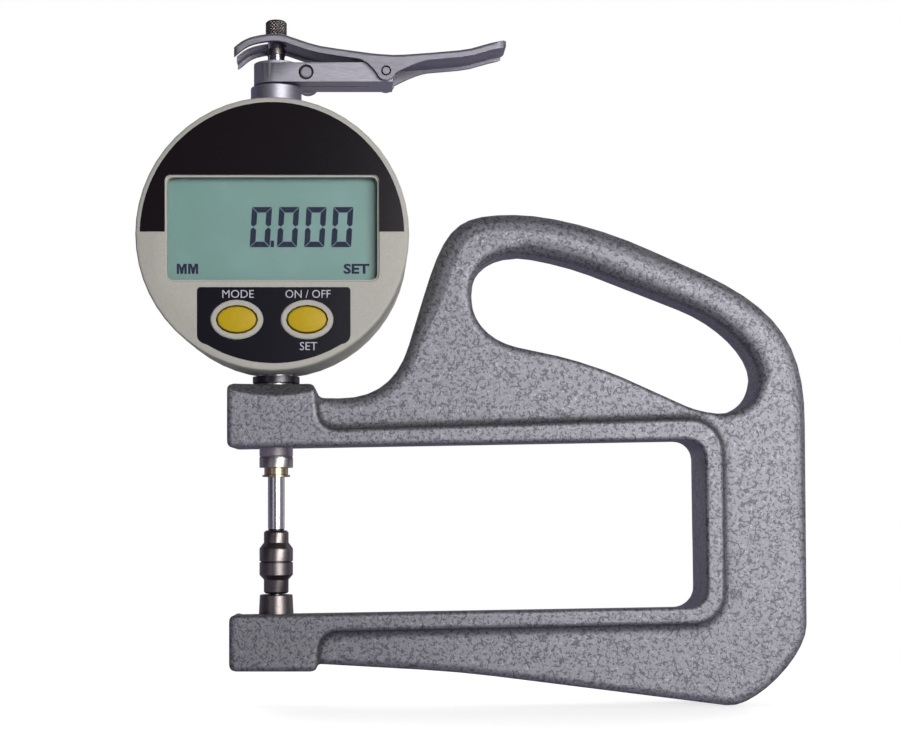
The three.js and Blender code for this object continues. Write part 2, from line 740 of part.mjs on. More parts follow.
function makeAnvil() {
  const neckBottom = holderTop + seatGap;
  const shankBottom = holderTop - anvilShankLength;
  const anvil = turned([
    [0, shankBottom],
    [anvilShankRadius, shankBottom],
    [anvilShankRadius, neckBottom],
    [anvilNeckRadius - anvilFootChamfer, neckBottom],
    [anvilNeckRadius, neckBottom + anvilFootChamfer],
    [anvilNeckRadius, neckBottom + anvilNeckLength],
    [anvilRadius, neckBottom + anvilNeckLength + anvilChamfer],
    [anvilRadius, anvilFace],
    [0, anvilFace],
  ], roundSides);
  addPiece('anvil', anvil, 'steel');
  const holderBottom = anvilSeat + seatGap;
  const holder = turned([
    [0, lowerBlockTop - holderShankLength],
    [holderShankRadius, lowerBlockTop - holderShankLength],
    [holderShankRadius, holderBottom],
    [holderRadius + holderFlare, holderBottom],
    [holderRadius, holderTop],
    [anvilShankRadius + seatGap, holderTop],
    [anvilShankRadius + seatGap, shankBottom - seatGap],
    [0, shankBottom - seatGap],
  ], roundSides);
  addPiece('anvil_holder', holder, 'steel');
  addPiece('anvil_set_screw', grubScrew(lowerBlockTop / 2, holderShankRadius), 'steel');
}

// Stem, its bush and the collar under the head
function makeStem() {
  const stemTop = headCentre - headRadius + stemInside;
  const bore = spindleRadius + runningGap;
  const bushBore = bushShankRadius + seatGap;
  const bushTop = stemBottom + bushShankLength;
  const grooveTop = upperBlockBottom - stemGroovePlace;
  const stem = turned([
    [bushBore, stemBottom],
    [stemRadius, stemBottom],
    [stemRadius, grooveTop - stemGrooveWidth],
    [stemRadius - stemGrooveDepth, grooveTop - stemGrooveWidth / 2],
    [stemRadius, grooveTop],
    [stemRadius, stemTop],
    [bore, stemTop],
    [bore, bushTop + seatGap],
    [bushBore, bushTop + seatGap],
    [bushBore, stemBottom],
  ], roundSides);
  addPiece('stem', stem, 'chrome');
  const ringTop = stemBottom - seatGap;
  const flangeBottom = ringTop - bushHeight - bushFlangeHeight;
  const bush = turned([
    [bore, flangeBottom],
    [bushFlangeRadius, flangeBottom],
    [bushFlangeRadius, flangeBottom + bushFlangeHeight],
    [bushRadius, flangeBottom + bushFlangeHeight],
    [bushRadius, bushTop],
    [bore, bushTop],
    [bore, flangeBottom],
  ], roundSides);
  addPiece('guide_bush', bush, 'brass');
  const collarTop = headCentre - headRadius - seatGap;
  const collar = turned(
    tube(stemRadius + seatGap, stemCollarRadius, collarTop - stemCollarHeight, collarTop),
    roundSides,
  );
  addPiece('stem_collar', collar, 'steel');
  const screwHeight = (upperBlockBottom + upperBlockTop) / 2;
  addPiece('stem_set_screw', grubScrew(screwHeight, stemRadius), 'steel');
}

// Spindle, contact point, lifting cap and lock nut
function makeSpindle() {
  const nutTop = leverCrest - leverSheet - lockNutDrop;
  const spindleTop = capBottom + capHeight / 2;
  const spindle = turned(rod(spindleRadius, contactTop + seatGap, spindleTop), smallSides);
  addPiece('spindle', spindle, 'chrome');
  const shoulder = contactFace + contactFaceLength;
  const contact = turned([
    [0, contactFace],
    [contactRadius, contactFace],
    [contactRadius, shoulder],
    [contactNeckRadius, shoulder + contactChamfer],
    [contactNeckRadius, contactTop - contactEdge],
    [contactNeckRadius - contactEdge, contactTop],
    [0, contactTop],
  ], roundSides);
  addPiece('contact_point', contact, 'steel');
  const bore = spindleRadius + seatGap / 2;
  const roofBottom = spindleTop + seatGap;
  const cap = turned([
    [bore, capBottom],
    [capRadius, capBottom],
    [capRadius, capBottom + capHeight - capEdge],
    [capRadius - capEdge, capBottom + capHeight],
    [0, capBottom + capHeight],
    [0, roofBottom],
    [bore, roofBottom],
    [bore, capBottom],
  ], roundSides);
  addPiece('lifting_cap', cap, 'steel');
  const nut = turned(tube(bore, lockNutRadius, nutTop - lockNutHeight, nutTop), smallSides);
  addPiece('lock_nut', nut, 'steel');
}

// Where the four cover screws sit on the head
function screwPlaces() {
  return [1, 3, 5, 7].map((eighth) => {
    const angle = eighth * Math.PI / 4;
    const reach = caseInside - screwBossRadius - screwBossInset;
    return [reach * Math.cos(angle), headCentre + reach * Math.sin(angle)];
  });
}

// A plate inside the case, trimmed where the wall and the bosses stand
function fitted(solid, wallGap) {
  const bounds = rod(caseInside - wallGap, -headFront - overrun, headBack);
  const room = turnedDeep(bounds, fineSides, 0, headCentre);
  const bosses = screwPlaces().map(([x, z]) => {
    return turnedDeep(rod(screwBossRadius + seatGap, -headFront, headBack), tinySides, x, z);
  });
  return cut(solid.intersect(room), ...bosses);
}

const wallInside = -headFront + headWall;
const coverInside = headBack - headWall;
const coverFront = headSplit + seatGap;
const windowHeightCentre = headCentre + windowLift;
const windowDrop = windowHeight / 2 - windowLift;
const buttonHeight = headCentre - windowDrop - (headRadius - windowDrop) * buttonPlaceShare;
const caseInside = headRadius - headWall;
const cupRadius = batteryCapRadius + runningGap + batteryWall;
const cupFront = coverInside - batteryThickness;
const batteryHeight = headCentre - caseInside + cupRadius + batteryInset;
const springPostReach = caseInside - springPostRadius - springPostInset;
const springPostHeight = headCentre - Math.sqrt(springPostReach ** 2 - springOffset ** 2);
const topBushBottom = headCentre + caseInside - topBushInside;

function makeFrontHousing() {
  const shell = turnedDeep([
    [0, -headFront],
    [headRadius - rimEdge, -headFront],
    [headRadius - rimEdge * edgeCutShare, -headFront + rimEdge * edgeCutShare],
    [headRadius, -headFront + rimEdge],
    [headRadius, headSplit],
    [headRadius - headWall, headSplit],
    [headRadius - headWall, wallInside],
    [0, wallInside],
  ], fineSides, 0, headCentre);
  const bosses = screwPlaces().map(([x, z]) => {
    return turnedDeep(rod(screwBossRadius, wallInside - seatGap, headSplit), tinySides, x, z);
  });
  const pilots = screwPlaces().map(([x, z]) => {
    const from = headSplit - screwLength;
    return turnedDeep(rod(screwRadius + seatGap, from, headSplit + overrun), tinySides, x, z);
  });
  const opening = roundedRectangle(0, windowHeightCentre, windowWidth, windowHeight, windowCorner);
  const wider = roundedRectangle(
    0,
    windowHeightCentre,
    windowWidth + 2 * windowBevel,
    windowHeight + 2 * windowBevel,
    windowCorner + windowBevel,
  );
  const openingInset = seatGap + windowPaneLap;
  const windowRoom = turnedDeep(
    rod(caseInside - openingInset, -headFront - overrun, headSplit),
    fineSides,
    0,
    headCentre,
  );
  const windowCut = pushedDeep(opening, -headFront - overrun, wallInside + overrun).intersect(windowRoom);
  const windowStep = pushedDeep(wider, -headFront - overrun, -headFront + windowBevel).intersect(windowRoom);
  const ringProudY = -headFront - buttonRingProud;
  const rings = [-1, 1].map((side) => {
    const x = side * buttonSpacing / 2;
    const outer = ovalShape(
      x,
      buttonHeight,
      buttonHalfWidth + buttonGap + buttonRingWidth,
      buttonHalfHeight + buttonGap + buttonRingWidth,
    );
    return pushedDeep(outer, ringProudY, wallInside - seatGap, ovalSteps);
  });
  const buttonHoles = [-1, 1].map((side) => {
    const x = side * buttonSpacing / 2;
    const inner = ovalShape(x, buttonHeight, buttonHalfWidth + buttonGap, buttonHalfHeight + buttonGap);
    return pushedDeep(inner, ringProudY - overrun, wallInside + overrun, ovalSteps);
  });
  const stemHole = turned(
    rod(stemRadius + seatGap, headCentre - headRadius - overrun, headCentre),
    roundSides,
  );
  const topHole = turned(
    rod(topCollarRadius + seatGap, headCentre, headCentre + headRadius + overrun),
    roundSides,
  );
  const solid = cut(
    join(shell, ...bosses, ...rings),
    ...pilots,
    windowCut,
    windowStep,
    ...buttonHoles,
    stemHole,
    topHole,
  );
  addPiece('front_housing', solid, 'housing');
}

function makeRearCover() {
  const shell = turnedDeep([
    [0, coverInside],
    [headRadius - headWall, coverInside],
    [headRadius - headWall, coverFront],
    [headRadius, coverFront],
    [headRadius, headBack - backEdge],
    [headRadius - backEdge * edgeCutShare, headBack - backEdge * edgeCutShare],
    [headRadius - backEdge, headBack],
    [0, headBack],
  ], fineSides, 0, headCentre);
  const batteryHole = batteryCapRadius + runningGap;
  const cup = turnedDeep(
    rod(cupRadius, cupFront, coverInside + seatGap),
    roundSides,
    0,
    batteryHeight,
  );
  const cupBore = rod(batteryHole, cupFront - overrun, headBack + overrun);
  const cupCut = turnedDeep(cupBore, roundSides, 0, batteryHeight);
  const pillars = screwPlaces().map(([x, z]) => {
    return turnedDeep(rod(screwBossRadius, coverFront, coverInside + seatGap), tinySides, x, z);
  });
  const screwHoles = screwPlaces().map(([x, z]) => turnedDeep([
    [0, coverFront - overrun],
    [screwRadius + seatGap, coverFront - overrun],
    [screwRadius + seatGap, headBack - screwHeadHeight - seatGap],
    [screwHeadRadius + seatGap, headBack - screwHeadHeight - seatGap],
    [screwHeadRadius + seatGap, headBack + overrun],
    [0, headBack + overrun],
  ], tinySides, x, z));
  const post = turnedDeep(
    rod(springPostRadius, -springPostRadius, coverInside + seatGap),
    smallSides,
    -springOffset,
    springPostHeight,
  );
  const stemClear = turned(
    rod(stemCollarRadius + seatGap, headCentre - headRadius - overrun, headCentre),
    roundSides,
  );
  const topClear = turned(
    rod(topCollarRadius + seatGap, headCentre, headCentre + headRadius + overrun),
    roundSides,
  );
  const solid = join(cut(join(shell, cup, ...pillars), cupCut, ...screwHoles, stemClear, topClear), post);
  addPiece('rear_cover', solid, 'housing');

  screwPlaces().forEach(([x, z], index) => {
    const headBottom = headBack - screwHeadHeight;
    const screw = turnedDeep([
      [0, headSplit - screwLength + seatGap],
      [screwRadius, headSplit - screwLength + seatGap],
      [screwRadius, headBottom],
      [screwHeadRadius, headBottom],
      [screwHeadRadius, headBack],
      [0, headBack],
    ], tinySides, x, z);
    const slot = box(
      x - screwHeadRadius - overrun,
      x + screwHeadRadius + overrun,
      headBack - screwSlotDepth,
      headBack + overrun,
      z - screwSlotWidth / 2,
      z + screwSlotWidth / 2,
    );
    addPiece(`cover_screw_${index + 1}`, cut(screw, slot), 'steel');
  });

  const capDisc = rod(batteryCapRadius, coverInside + seatGap, headBack);
  const capBody = turnedDeep(capDisc, roundSides, 0, batteryHeight);
  const slotHalf = batteryCapRadius * coinSlotLengthShare;
  const coinSlot = box(
    -slotHalf,
    slotHalf,
    headBack - coinSlotDepth,
    headBack + overrun,
    batteryHeight - coinSlotWidth / 2,
    batteryHeight + coinSlotWidth / 2,
  );
  addPiece('battery_cap', cut(capBody, coinSlot), 'plastic');
  const batteryBack = coverInside;
  const battery = turnedDeep(
    rod(batteryRadius, batteryBack - batteryThickness, batteryBack),
    roundSides,
    0,
    batteryHeight,
  );
  addPiece('battery', battery, 'steel');
}

// Display window, display, circuit board and buttons, one behind the other
const paneFront = wallInside + seatGap;
const paneBack = paneFront + windowPaneThickness;
const lcdFront = paneBack + seatGap;
const lcdBack = lcdFront + lcdThickness;
const boardFront = lcdBack + seatGap;
const boardBack = boardFront + boardThickness;

function makeDisplay() {
  const paneShape = roundedRectangle(
    0,
    windowHeightCentre,
    windowWidth + 2 * windowPaneLap,
    windowHeight + 2 * windowPaneLap,
    windowCorner,
  );
  addPiece('lcd_window', fitted(pushedDeep(paneShape, paneFront, paneBack), seatGap), 'glass');
  const lcdShape = roundedRectangle(
    0,
    windowHeightCentre,
    windowWidth + 2 * windowPaneLap,
    windowHeight + 2 * lcdLap,
    windowCorner / 2,
  );
  addPiece('lcd_module', fitted(pushedDeep(lcdShape, lcdFront, lcdBack), seatGap), 'lcd');
  const board = shapeOf([
    [-boardWidth / 2, headCentre + boardTop],
    [-boardWidth / 2, headCentre - boardBottom],
    [-boardTabWidth / 2, headCentre - boardBottom],
    [-boardTabWidth / 2, headCentre - caseInside + boardTabInset],
    [boardTabWidth / 2, headCentre - caseInside + boardTabInset],
    [boardTabWidth / 2, headCentre - boardBottom],
    [boardWidth / 2, headCentre - boardBottom],
    [boardWidth / 2, headCentre + boardTop],
  ]);
  addPiece('circuit_board', fitted(pushedDeep(board, boardFront, boardBack), seatGap), 'board');
  const readerFront = boardBack + seatGap;
  const reader = box(
    -readerWidth / 2,
    readerWidth / 2,
    readerFront,
    readerFront + readerThickness,
    headCentre - readerHeight,
    headCentre,
  );
  addPiece('reader_head', reader, 'plastic');
}

function makeButton(name, switchName, side) {
  const x = side * buttonSpacing / 2;
  const flangeFront = wallInside + seatGap;
  const flangeBack = flangeFront + buttonFlangeThickness;
  const switchTop = boardFront - seatGap - switchHeight;
  const stemEnd = switchTop - seatGap - buttonTravel;
  const top = -headFront - buttonProud;
  const crownShape = ovalShape(x, buttonHeight, buttonHalfWidth - buttonDome, buttonHalfHeight - buttonDome);
  const crown = new THREE.ExtrudeGeometry(crownShape, {
    depth: flangeFront - top - 2 * buttonDome,
    bevelEnabled: true,
    bevelThickness: buttonDome,
    bevelSize: buttonDome,
    bevelSegments: edgeSteps,
    curveSegments: ovalSteps,
  });
  crown.rotateX(Math.PI / 2);
  crown.translate(0, flangeFront - buttonDome, 0);
  const flangeShape = ovalShape(
    x,
    buttonHeight,
    buttonHalfWidth + buttonFlange,
    buttonHalfHeight + buttonFlange,
  );
  const flange = pushedDeep(flangeShape, flangeFront - buttonDome / 2, flangeBack, ovalSteps);
  const trimmed = cut(flange, box(
    x - 2 * buttonHalfWidth,
    x + 2 * buttonHalfWidth,
    flangeFront - overrun,
    flangeFront,
    buttonHeight - 2 * buttonHalfWidth,
    buttonHeight + 2 * buttonHalfWidth,
  ));
  const neckShape = ovalShape(x, buttonHeight, buttonHalfWidth - buttonDome, buttonHalfHeight - buttonDome);
  const neck = pushedDeep(neckShape, top + 2 * buttonDome, flangeFront + seatGap, ovalSteps);
  const stem = turnedDeep(rod(buttonStemRadius, flangeFront, stemEnd), smallSides, x, buttonHeight);
  addPiece(name, join(toSolid(crown), neck, trimmed, stem), 'button');
  const dome = turnedDeep(rod(switchRadius, switchTop, boardFront - seatGap), smallSides, x, buttonHeight);
  addPiece(switchName, dome, 'plastic');
}

// Carrier on the spindle, glass scale, pin, rail and return spring
function makeMeasuringSystem() {
  const top = topBushBottom - spindleTravel - carrierRoom;
  const bottom = top - carrierHeight;
  const lugBottom = bottom + seatGap;
  const bodyLeft = -springOffset - springRadius;
  const body = box(bodyLeft, carrierWidth / 2, -carrierDepth / 2, carrierDepth / 2, bottom, top);
  const bore = turned(rod(spindleRadius + seatGap / 2, bottom - overrun, top + overrun), smallSides);
  const pinHole = turnedAcross(
    rod(pinRadius + seatGap, carrierWidth / 2 - pinLength / 2, carrierWidth / 2 + overrun),
    smallSides,
    0,
    (bottom + top) / 2,
  );
  addPiece('scale_carrier', cut(body, bore, pinHole), 'aluminium');
  const scaleBack = -carrierDepth / 2 - seatGap;
  const scale = box(
    -scaleWidth / 2,
    scaleWidth / 2,
    scaleBack - scaleThickness,
    scaleBack,
    top - scaleLength,
    top,
  );
  addPiece('glass_scale', scale, 'glass');
  const pinStart = carrierWidth / 2 - pinLength / 2 + seatGap;
  const pinProfile = rod(pinRadius, pinStart, pinStart + pinLength);
  const pin = turnedAcross(pinProfile, smallSides, 0, (bottom + top) / 2);
  addPiece('anti_rotation_pin', pin, 'steel');
  const railInner = carrierWidth / 2 + seatGap;
  const slotHalf = pinRadius + runningGap;
  const railBottom = bottom - railBelow;
  const railTop = top + spindleTravel + railOverlap;
  const rail = cut(
    box(railInner, railInner + railWidth, -railDepth / 2, coverInside - seatGap, railBottom, railTop),
    box(
      railInner - overrun,
      pinStart + pinLength + railFoot,
      -slotHalf,
      slotHalf,
      railBottom + railEnd,
      railTop + overrun,
    ),
    turnedDeep(rod(cupRadius + seatGap, cupFront - seatGap, headBack), roundSides, 0, batteryHeight),
  );
  addPiece('guide_rail', rail, 'aluminium');
  addPiece('return_spring', coilSpring(-springOffset, lugBottom - 2 * seatGap), 'chrome');
}

// An extension spring as one unbroken tube that hangs down from topZ
function coilSpring(x, topZ) {
  const middleRadius = springRadius - springWire;
  const rings = springTurns * springSteps + 1;
  const bottomZ = springPostHeight + springPostRadius + seatGap;
  const length = topZ - bottomZ - 2 * springWire;
  const positions = [];
  const triangles = [];
  for (let ring = 0; ring < rings; ring += 1) {
    const turn = (ring / springSteps) * 2 * Math.PI;
    const z = topZ - springWire - length * ring / (rings - 1);
    for (let side = 0; side < springSides; side += 1) {
      const around = (side / springSides) * 2 * Math.PI;
      const reach = middleRadius + springWire * Math.cos(around);
      positions.push(x + reach * Math.cos(turn), reach * Math.sin(turn), z + springWire * Math.sin(around));
    }
  }
  for (let ring = 0; ring < rings - 1; ring += 1) {
    for (let side = 0; side < springSides; side += 1) {
      const next = (side + 1) % springSides;
      const a = ring * springSides + side;
      const b = ring * springSides + next;
      const c = b + springSides;
      const d = a + springSides;
      triangles.push(a, c, b, a, d, c);
    }
  }
  const last = (rings - 1) * springSides;
  for (let side = 1; side < springSides - 1; side += 1) {
    triangles.push(0, side, side + 1);
    triangles.push(last, last + side + 1, last + side);
  }
  const geometry = new THREE.BufferGeometry();
  geometry.setAttribute('position', new THREE.Float32BufferAttribute(positions, 3));
  geometry.setIndex(triangles);
  const solid = toSolid(geometry);
  return solid;
}

// Collar and bush on top of the head, with the split clamp block on the bush
function makeTopGear() {
  const bushTop = clampTop + clampHubProud + topBushProud;
  const bore = spindleRadius + runningGap;
  addPiece('top_bush', turned(tube(bore, topBushRadius, topBushBottom, bushTop), roundSides), 'steel');
  const ring = tube(topBushRadius + seatGap, topCollarRadius, topCollarBottom, topCollarTop);
  const collar = turned(ring, roundSides);
  addPiece('top_collar', collar, 'chrome');

  const plan = new THREE.Shape();
  plan.moveTo(0, -clampHalfDepth);
  plan.lineTo(clampReach, -clampHalfDepth);
  plan.lineTo(clampReach, clampHalfDepth);
  plan.lineTo(0, clampHalfDepth);
  plan.absarc(0, 0, clampHalfDepth, Math.PI / 2, -Math.PI / 2);
  const side = shapeOf(bend([
    { at: [-clampHalfDepth - overrun, clampBottom] },
    { at: [clampReach, clampBottom], radius: clampEdge },
    { at: [clampReach, clampTop], radius: clampEndRadius },
    { at: [-clampHalfDepth - overrun, clampTop] },
  ]).map((p) => [p.x, p.z]));
  const bar = pushedUp(plan, clampBottom - overrun, clampTop + overrun)
    .intersect(pushedDeep(side, -clampHalfDepth - overrun, clampHalfDepth + overrun));
  const hub = turned(rod(clampHalfDepth, clampBottom, clampTop + clampHubProud), roundSides);
  const bushBore = rod(topBushRadius + seatGap, clampBottom - overrun, clampTop + overrun);
  const bushHole = turned(bushBore, roundSides);
  const slit = box(0, slitReach, -slitWidth / 2, slitWidth / 2, clampBottom - overrun, clampTop + overrun);
  const through = (radius, x) => turnedDeep(
    rod(radius, -clampHalfDepth - overrun, clampHalfDepth + overrun),
    smallSides,
    x,
    clampMiddle,
  );
  const block = cut(
    join(bar, hub),
    bushHole,
    slit,
    through(clampScrewRadius + seatGap, clampScrewReach),
    through(pivotRadius + runningGap, pivotReach),
  );
  addPiece('clamp_block', block, 'aluminium');

  const headFace = clampHalfDepth + seatGap;
  const headEnd = headFace + clampScrewHeadHeight;
  const screw = turnedDeep([
    [0, -clampHalfDepth],
    [clampScrewRadius - clampScrewTip, -clampHalfDepth],
    [clampScrewRadius, -clampHalfDepth + clampScrewTip],
    [clampScrewRadius, headFace],
    [clampScrewHeadRadius, headFace],
    [clampScrewHeadRadius, headEnd],
    [0, headEnd],
  ], roundSides, clampScrewReach, clampMiddle);
  const socket = hexSocket(
    clampScrewHeadRadius * hexSocketShare,
    clampScrewReach,
    clampMiddle,
    headEnd - clampScrewHeadHeight * socketDepthShare,
    headEnd + overrun,
  );
  addPiece('clamp_screw', cut(screw, socket), 'steel');
}

// Lifting lever: a pressed channel that straddles the clamp block. Its top
// edge is a table of shares: along the nose or tail from the pivot, and of
// the crest's height over the pivot.
const noseTopShares = [
  [1, 0.63], [0.95, 0.79], [0.888, 0.906], [0.804, 0.976], [0.723, 1], [0.653, 0.953],
  [0.569, 0.837], [0.434, 0.674], [0.204, 0.535], [0.095, 0.477],
];
const tailTopShares = [
  [0.014, 0.442], [0.155, 0.442], [0.611, 0.558], [0.756, 0.651], [0.873, 0.756], [1, 0.837],
];

function leverTopEdge() {
  const height = (high) => pivotHeight + high * leverTopLift;
  return [
    ...noseTopShares.map(([along, high]) => [pivotReach - along * leverNose, height(high)]),
    ...tailTopShares.map(([along, high]) => [pivotReach + along * leverTail, height(high)]),
  ];
}

// The edge run on at both ends, for a cut square to the bar
function runOn(edge, distance) {
  const further = (end, inner) => {
    const length = Math.hypot(end[0] - inner[0], end[1] - inner[1]);
    return end.map((value, axis) => value + (value - inner[axis]) * distance / length);
  };
  return [further(edge[0], edge[1]), ...edge, further(edge[edge.length - 1], edge[edge.length - 2])];
}

// The edge lowered by a distance square to itself
function lowered(edge, distance) {
  return edge.map(([x, z], index) => {
    const before = edge[Math.max(index - 1, 0)];
    const after = edge[Math.min(index + 1, edge.length - 1)];
    const length = Math.hypot(after[0] - before[0], after[1] - before[1]);
    const across = (after[1] - before[1]) / length;
    const along = (after[0] - before[0]) / length;
    return [x + across * distance, z - along * distance];
  });
}

// A hollow bend between the flange's lower edge and the ear
function flare(from, to) {
  const start = new THREE.Vector2(...from);
  const end = new THREE.Vector2(...to);
  const nearPivot = Math.abs(from[0] - pivotReach) < Math.abs(to[0] - pivotReach);
  const flangePoint = nearPivot ? end : start;
  const inward = nearPivot ? -1 : 1;
  const pull = leverLobe * flarePullShare;
  const control = new THREE.Vector2(flangePoint.x + inward * pull, flangePoint.y);
  const curve = new THREE.QuadraticBezierCurve(start, control, end);
  return curve.getPoints(flareSteps).slice(1, -1).map((point) => [point.x, point.y]);
}

// The lever seen from above, which cuts both its ends
function leverPlan() {
  const tail = pivotReach + leverTail;
  return shapeOf(bend([
    { at: [-forkReach, -leverHalfWidth], radius: leverNoseCorner },
    { at: [tail, -leverHalfWidth], radius: leverTailCorner },
    { at: [tail, leverHalfWidth], radius: leverTailCorner },
    { at: [-forkReach, leverHalfWidth], radius: leverNoseCorner },
  ]).map((point) => [point.x, point.z]));
}

function makeLever() {
  const curve = new THREE.SplineCurve(leverTopEdge().map(([x, z]) => new THREE.Vector2(x, z)));
  const topEdge = runOn(curve.getPoints(leverSteps).map((point) => [point.x, point.y]), overrun);
  const bottomEdge = lowered(topEdge, leverFlange);
  const under = lowered(topEdge, leverSheet);
  const flareLeft = pivotReach - leverLobe - leverLobeFlare;
  const flareRight = pivotReach + leverLobe + leverLobeFlare;
  const leftOfEar = bottomEdge.filter(([x]) => x < flareLeft);
  const rightOfEar = bottomEdge.filter(([x]) => x > flareRight);
  const ear = [];
  const earSpread = Math.PI * earSpreadShare;
  for (let step = 0; step <= earSteps; step += 1) {
    const angle = -Math.PI / 2 - earSpread + (2 * earSpread * step) / earSteps;
    ear.push([pivotReach + leverLobe * Math.cos(angle), pivotHeight + leverLobe * Math.sin(angle)]);
  }
  const leftFlare = flare(leftOfEar[leftOfEar.length - 1], ear[0]);
  const rightFlare = flare(ear[ear.length - 1], rightOfEar[0]);
  const side = [
    ...topEdge,
    ...[...leftOfEar, ...leftFlare, ...ear, ...rightFlare, ...rightOfEar].reverse(),
  ];
  const fold = leverSheet * leverEdgeShare;
  const outer = plate(
    side.map(([x, z], index) => ({ at: [x, z], edge: index < topEdge.length ? fold : 0 })),
    [],
    leverHalfWidth,
  );
  const plan = pushedUp(leverPlan(), clampBottom - overrun, leverCrest + overrun);
  const inside = [
    ...under,
    [under[under.length - 1][0] + overrun, under[under.length - 1][1]],
    [under[under.length - 1][0] + overrun, clampBottom - overrun],
    [under[0][0] - overrun, clampBottom - overrun],
    [under[0][0] - overrun, under[0][1]],
  ];
  const innerHalf = leverHalfWidth - leverSheet;
  const hollow = pushedDeep(shapeOf(inside), -innerHalf, innerHalf);
  const slotHeight = [pivotHeight, leverCrest + overrun];
  const slotCentre = spindleRadius + forkBackGap - forkWidth / 2;
  const slotEnd = turned(rod(forkWidth / 2, ...slotHeight), roundSides, slotCentre);
  const slot = box(-leverNose, slotCentre, -forkWidth / 2, forkWidth / 2, ...slotHeight);
  const pinHole = turnedDeep(
    rod(pivotRadius + runningGap, -leverHalfWidth - overrun, leverHalfWidth + overrun),
    smallSides,
    pivotReach,
    pivotHeight,
  );
  addPiece('lever', cut(outer.intersect(plan), hollow, slot, slotEnd, pinHole), 'aluminium');
  const pin = turnedDeep(
    rod(pivotRadius, -leverHalfWidth, leverHalfWidth),
    smallSides,
    pivotReach,
    pivotHeight,
  );
  addPiece('pivot_pin', pin, 'steel');
}

makeFrame();
makeAnvil();
makeStem();
makeSpindle();
makeFrontHousing();
makeRearCover();
makeDisplay();
makeButton('button_mode', 'switch_mode', -1);
makeButton('button_set', 'switch_set', 1);
makeMeasuringSystem();
makeTopGear();
makeLever();

export default model;
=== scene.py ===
# %% [markdown]
# A digital thickness gauge, dressed for a studio picture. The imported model
# gives every rigid piece its size and place. This lesson adds what the solids
# can't hold: the hammered enamel of the casting, the moulded case with its
# printed films, the liquid crystal display and the finish of each metal.

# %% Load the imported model
import bpy
import bmesh
import json
import math
from mathutils import Matrix, Vector


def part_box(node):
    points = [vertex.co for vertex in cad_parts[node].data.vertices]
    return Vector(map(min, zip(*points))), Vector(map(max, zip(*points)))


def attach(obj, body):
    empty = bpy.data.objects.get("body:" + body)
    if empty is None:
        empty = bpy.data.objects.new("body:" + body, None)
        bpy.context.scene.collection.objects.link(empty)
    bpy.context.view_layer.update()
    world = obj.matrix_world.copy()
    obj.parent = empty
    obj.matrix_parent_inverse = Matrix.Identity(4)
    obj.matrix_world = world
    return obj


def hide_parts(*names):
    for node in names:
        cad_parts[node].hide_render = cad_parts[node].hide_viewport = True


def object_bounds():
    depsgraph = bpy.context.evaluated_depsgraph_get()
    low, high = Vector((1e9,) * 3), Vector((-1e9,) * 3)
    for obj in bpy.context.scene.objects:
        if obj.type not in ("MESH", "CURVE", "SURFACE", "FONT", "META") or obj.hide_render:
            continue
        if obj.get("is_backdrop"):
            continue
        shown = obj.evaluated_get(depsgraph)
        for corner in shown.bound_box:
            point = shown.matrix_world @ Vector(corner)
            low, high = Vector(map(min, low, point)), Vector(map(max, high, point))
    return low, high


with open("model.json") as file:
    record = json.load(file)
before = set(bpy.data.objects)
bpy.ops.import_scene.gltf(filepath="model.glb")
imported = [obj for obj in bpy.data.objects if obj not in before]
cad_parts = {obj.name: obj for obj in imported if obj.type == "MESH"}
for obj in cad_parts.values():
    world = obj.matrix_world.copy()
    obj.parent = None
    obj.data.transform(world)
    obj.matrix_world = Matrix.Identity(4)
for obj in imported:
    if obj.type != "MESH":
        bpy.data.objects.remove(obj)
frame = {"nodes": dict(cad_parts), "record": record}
cad_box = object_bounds()
MM = 0.001
scene = bpy.context.scene

# %% [markdown]
# The camera is placed 400 mm in front of the spindle, a distance chosen so
# that the view fits the picture. One pixel covers 1/4.2 mm there, which fixes
# the focal length. The lens is shifted, because the picture was framed off
# the middle of the lens.

# %% Camera
PICTURE = (900, 735)
AXIS_PIXEL = (372, 491.3)
CAMERA_DISTANCE = 400
PIXELS_PER_MM = 4.2
CAMERA_AT = (22.8, -CAMERA_DISTANCE, 42)
SENSOR = 36

camera_data = bpy.data.cameras.new("camera")
camera_data.sensor_width = SENSOR
camera_data.lens = PIXELS_PER_MM * CAMERA_DISTANCE * SENSOR / PICTURE[0]
camera_data.shift_x = (PICTURE[0] / 2 - AXIS_PIXEL[0]) / PICTURE[0]
camera_data.shift_y = (AXIS_PIXEL[1] - PICTURE[1] / 2) / PICTURE[0]
camera_data.clip_start = 10 * MM
camera = bpy.data.objects.new("camera", camera_data)
camera.location = [v * MM for v in CAMERA_AT]
camera.rotation_euler = (math.radians(90), 0, 0)
scene.collection.objects.link(camera)
scene.camera = camera
print("lens", round(camera_data.lens, 1), "mm")


def from_picture(px, py, depth):
    """The point in millimetres that a pixel shows, at a depth along Y."""
    scale = PIXELS_PER_MM * CAMERA_DISTANCE / (CAMERA_DISTANCE + depth)
    return (
        CAMERA_AT[0] + (px - AXIS_PIXEL[0]) / scale,
        CAMERA_AT[2] - (py - AXIS_PIXEL[1]) / scale,
    )


# %% [markdown]
# One small function adds a shader node with its settings and links, and
# another turns a hex colour, as a paint chart gives it, into linear light.

# %% Helpers for colours and nodes
def linear(hex_code):
    """An sRGB hex colour as linear red, green, blue and alpha."""
    parts = [int(hex_code[i:i + 2], 16) / 255 for i in (1, 3, 5)]
    light = [v / 12.92 if v <= 0.04045 else ((v + 0.055) / 1.055) ** 2.4 for v in parts]
    return (*light, 1.0)


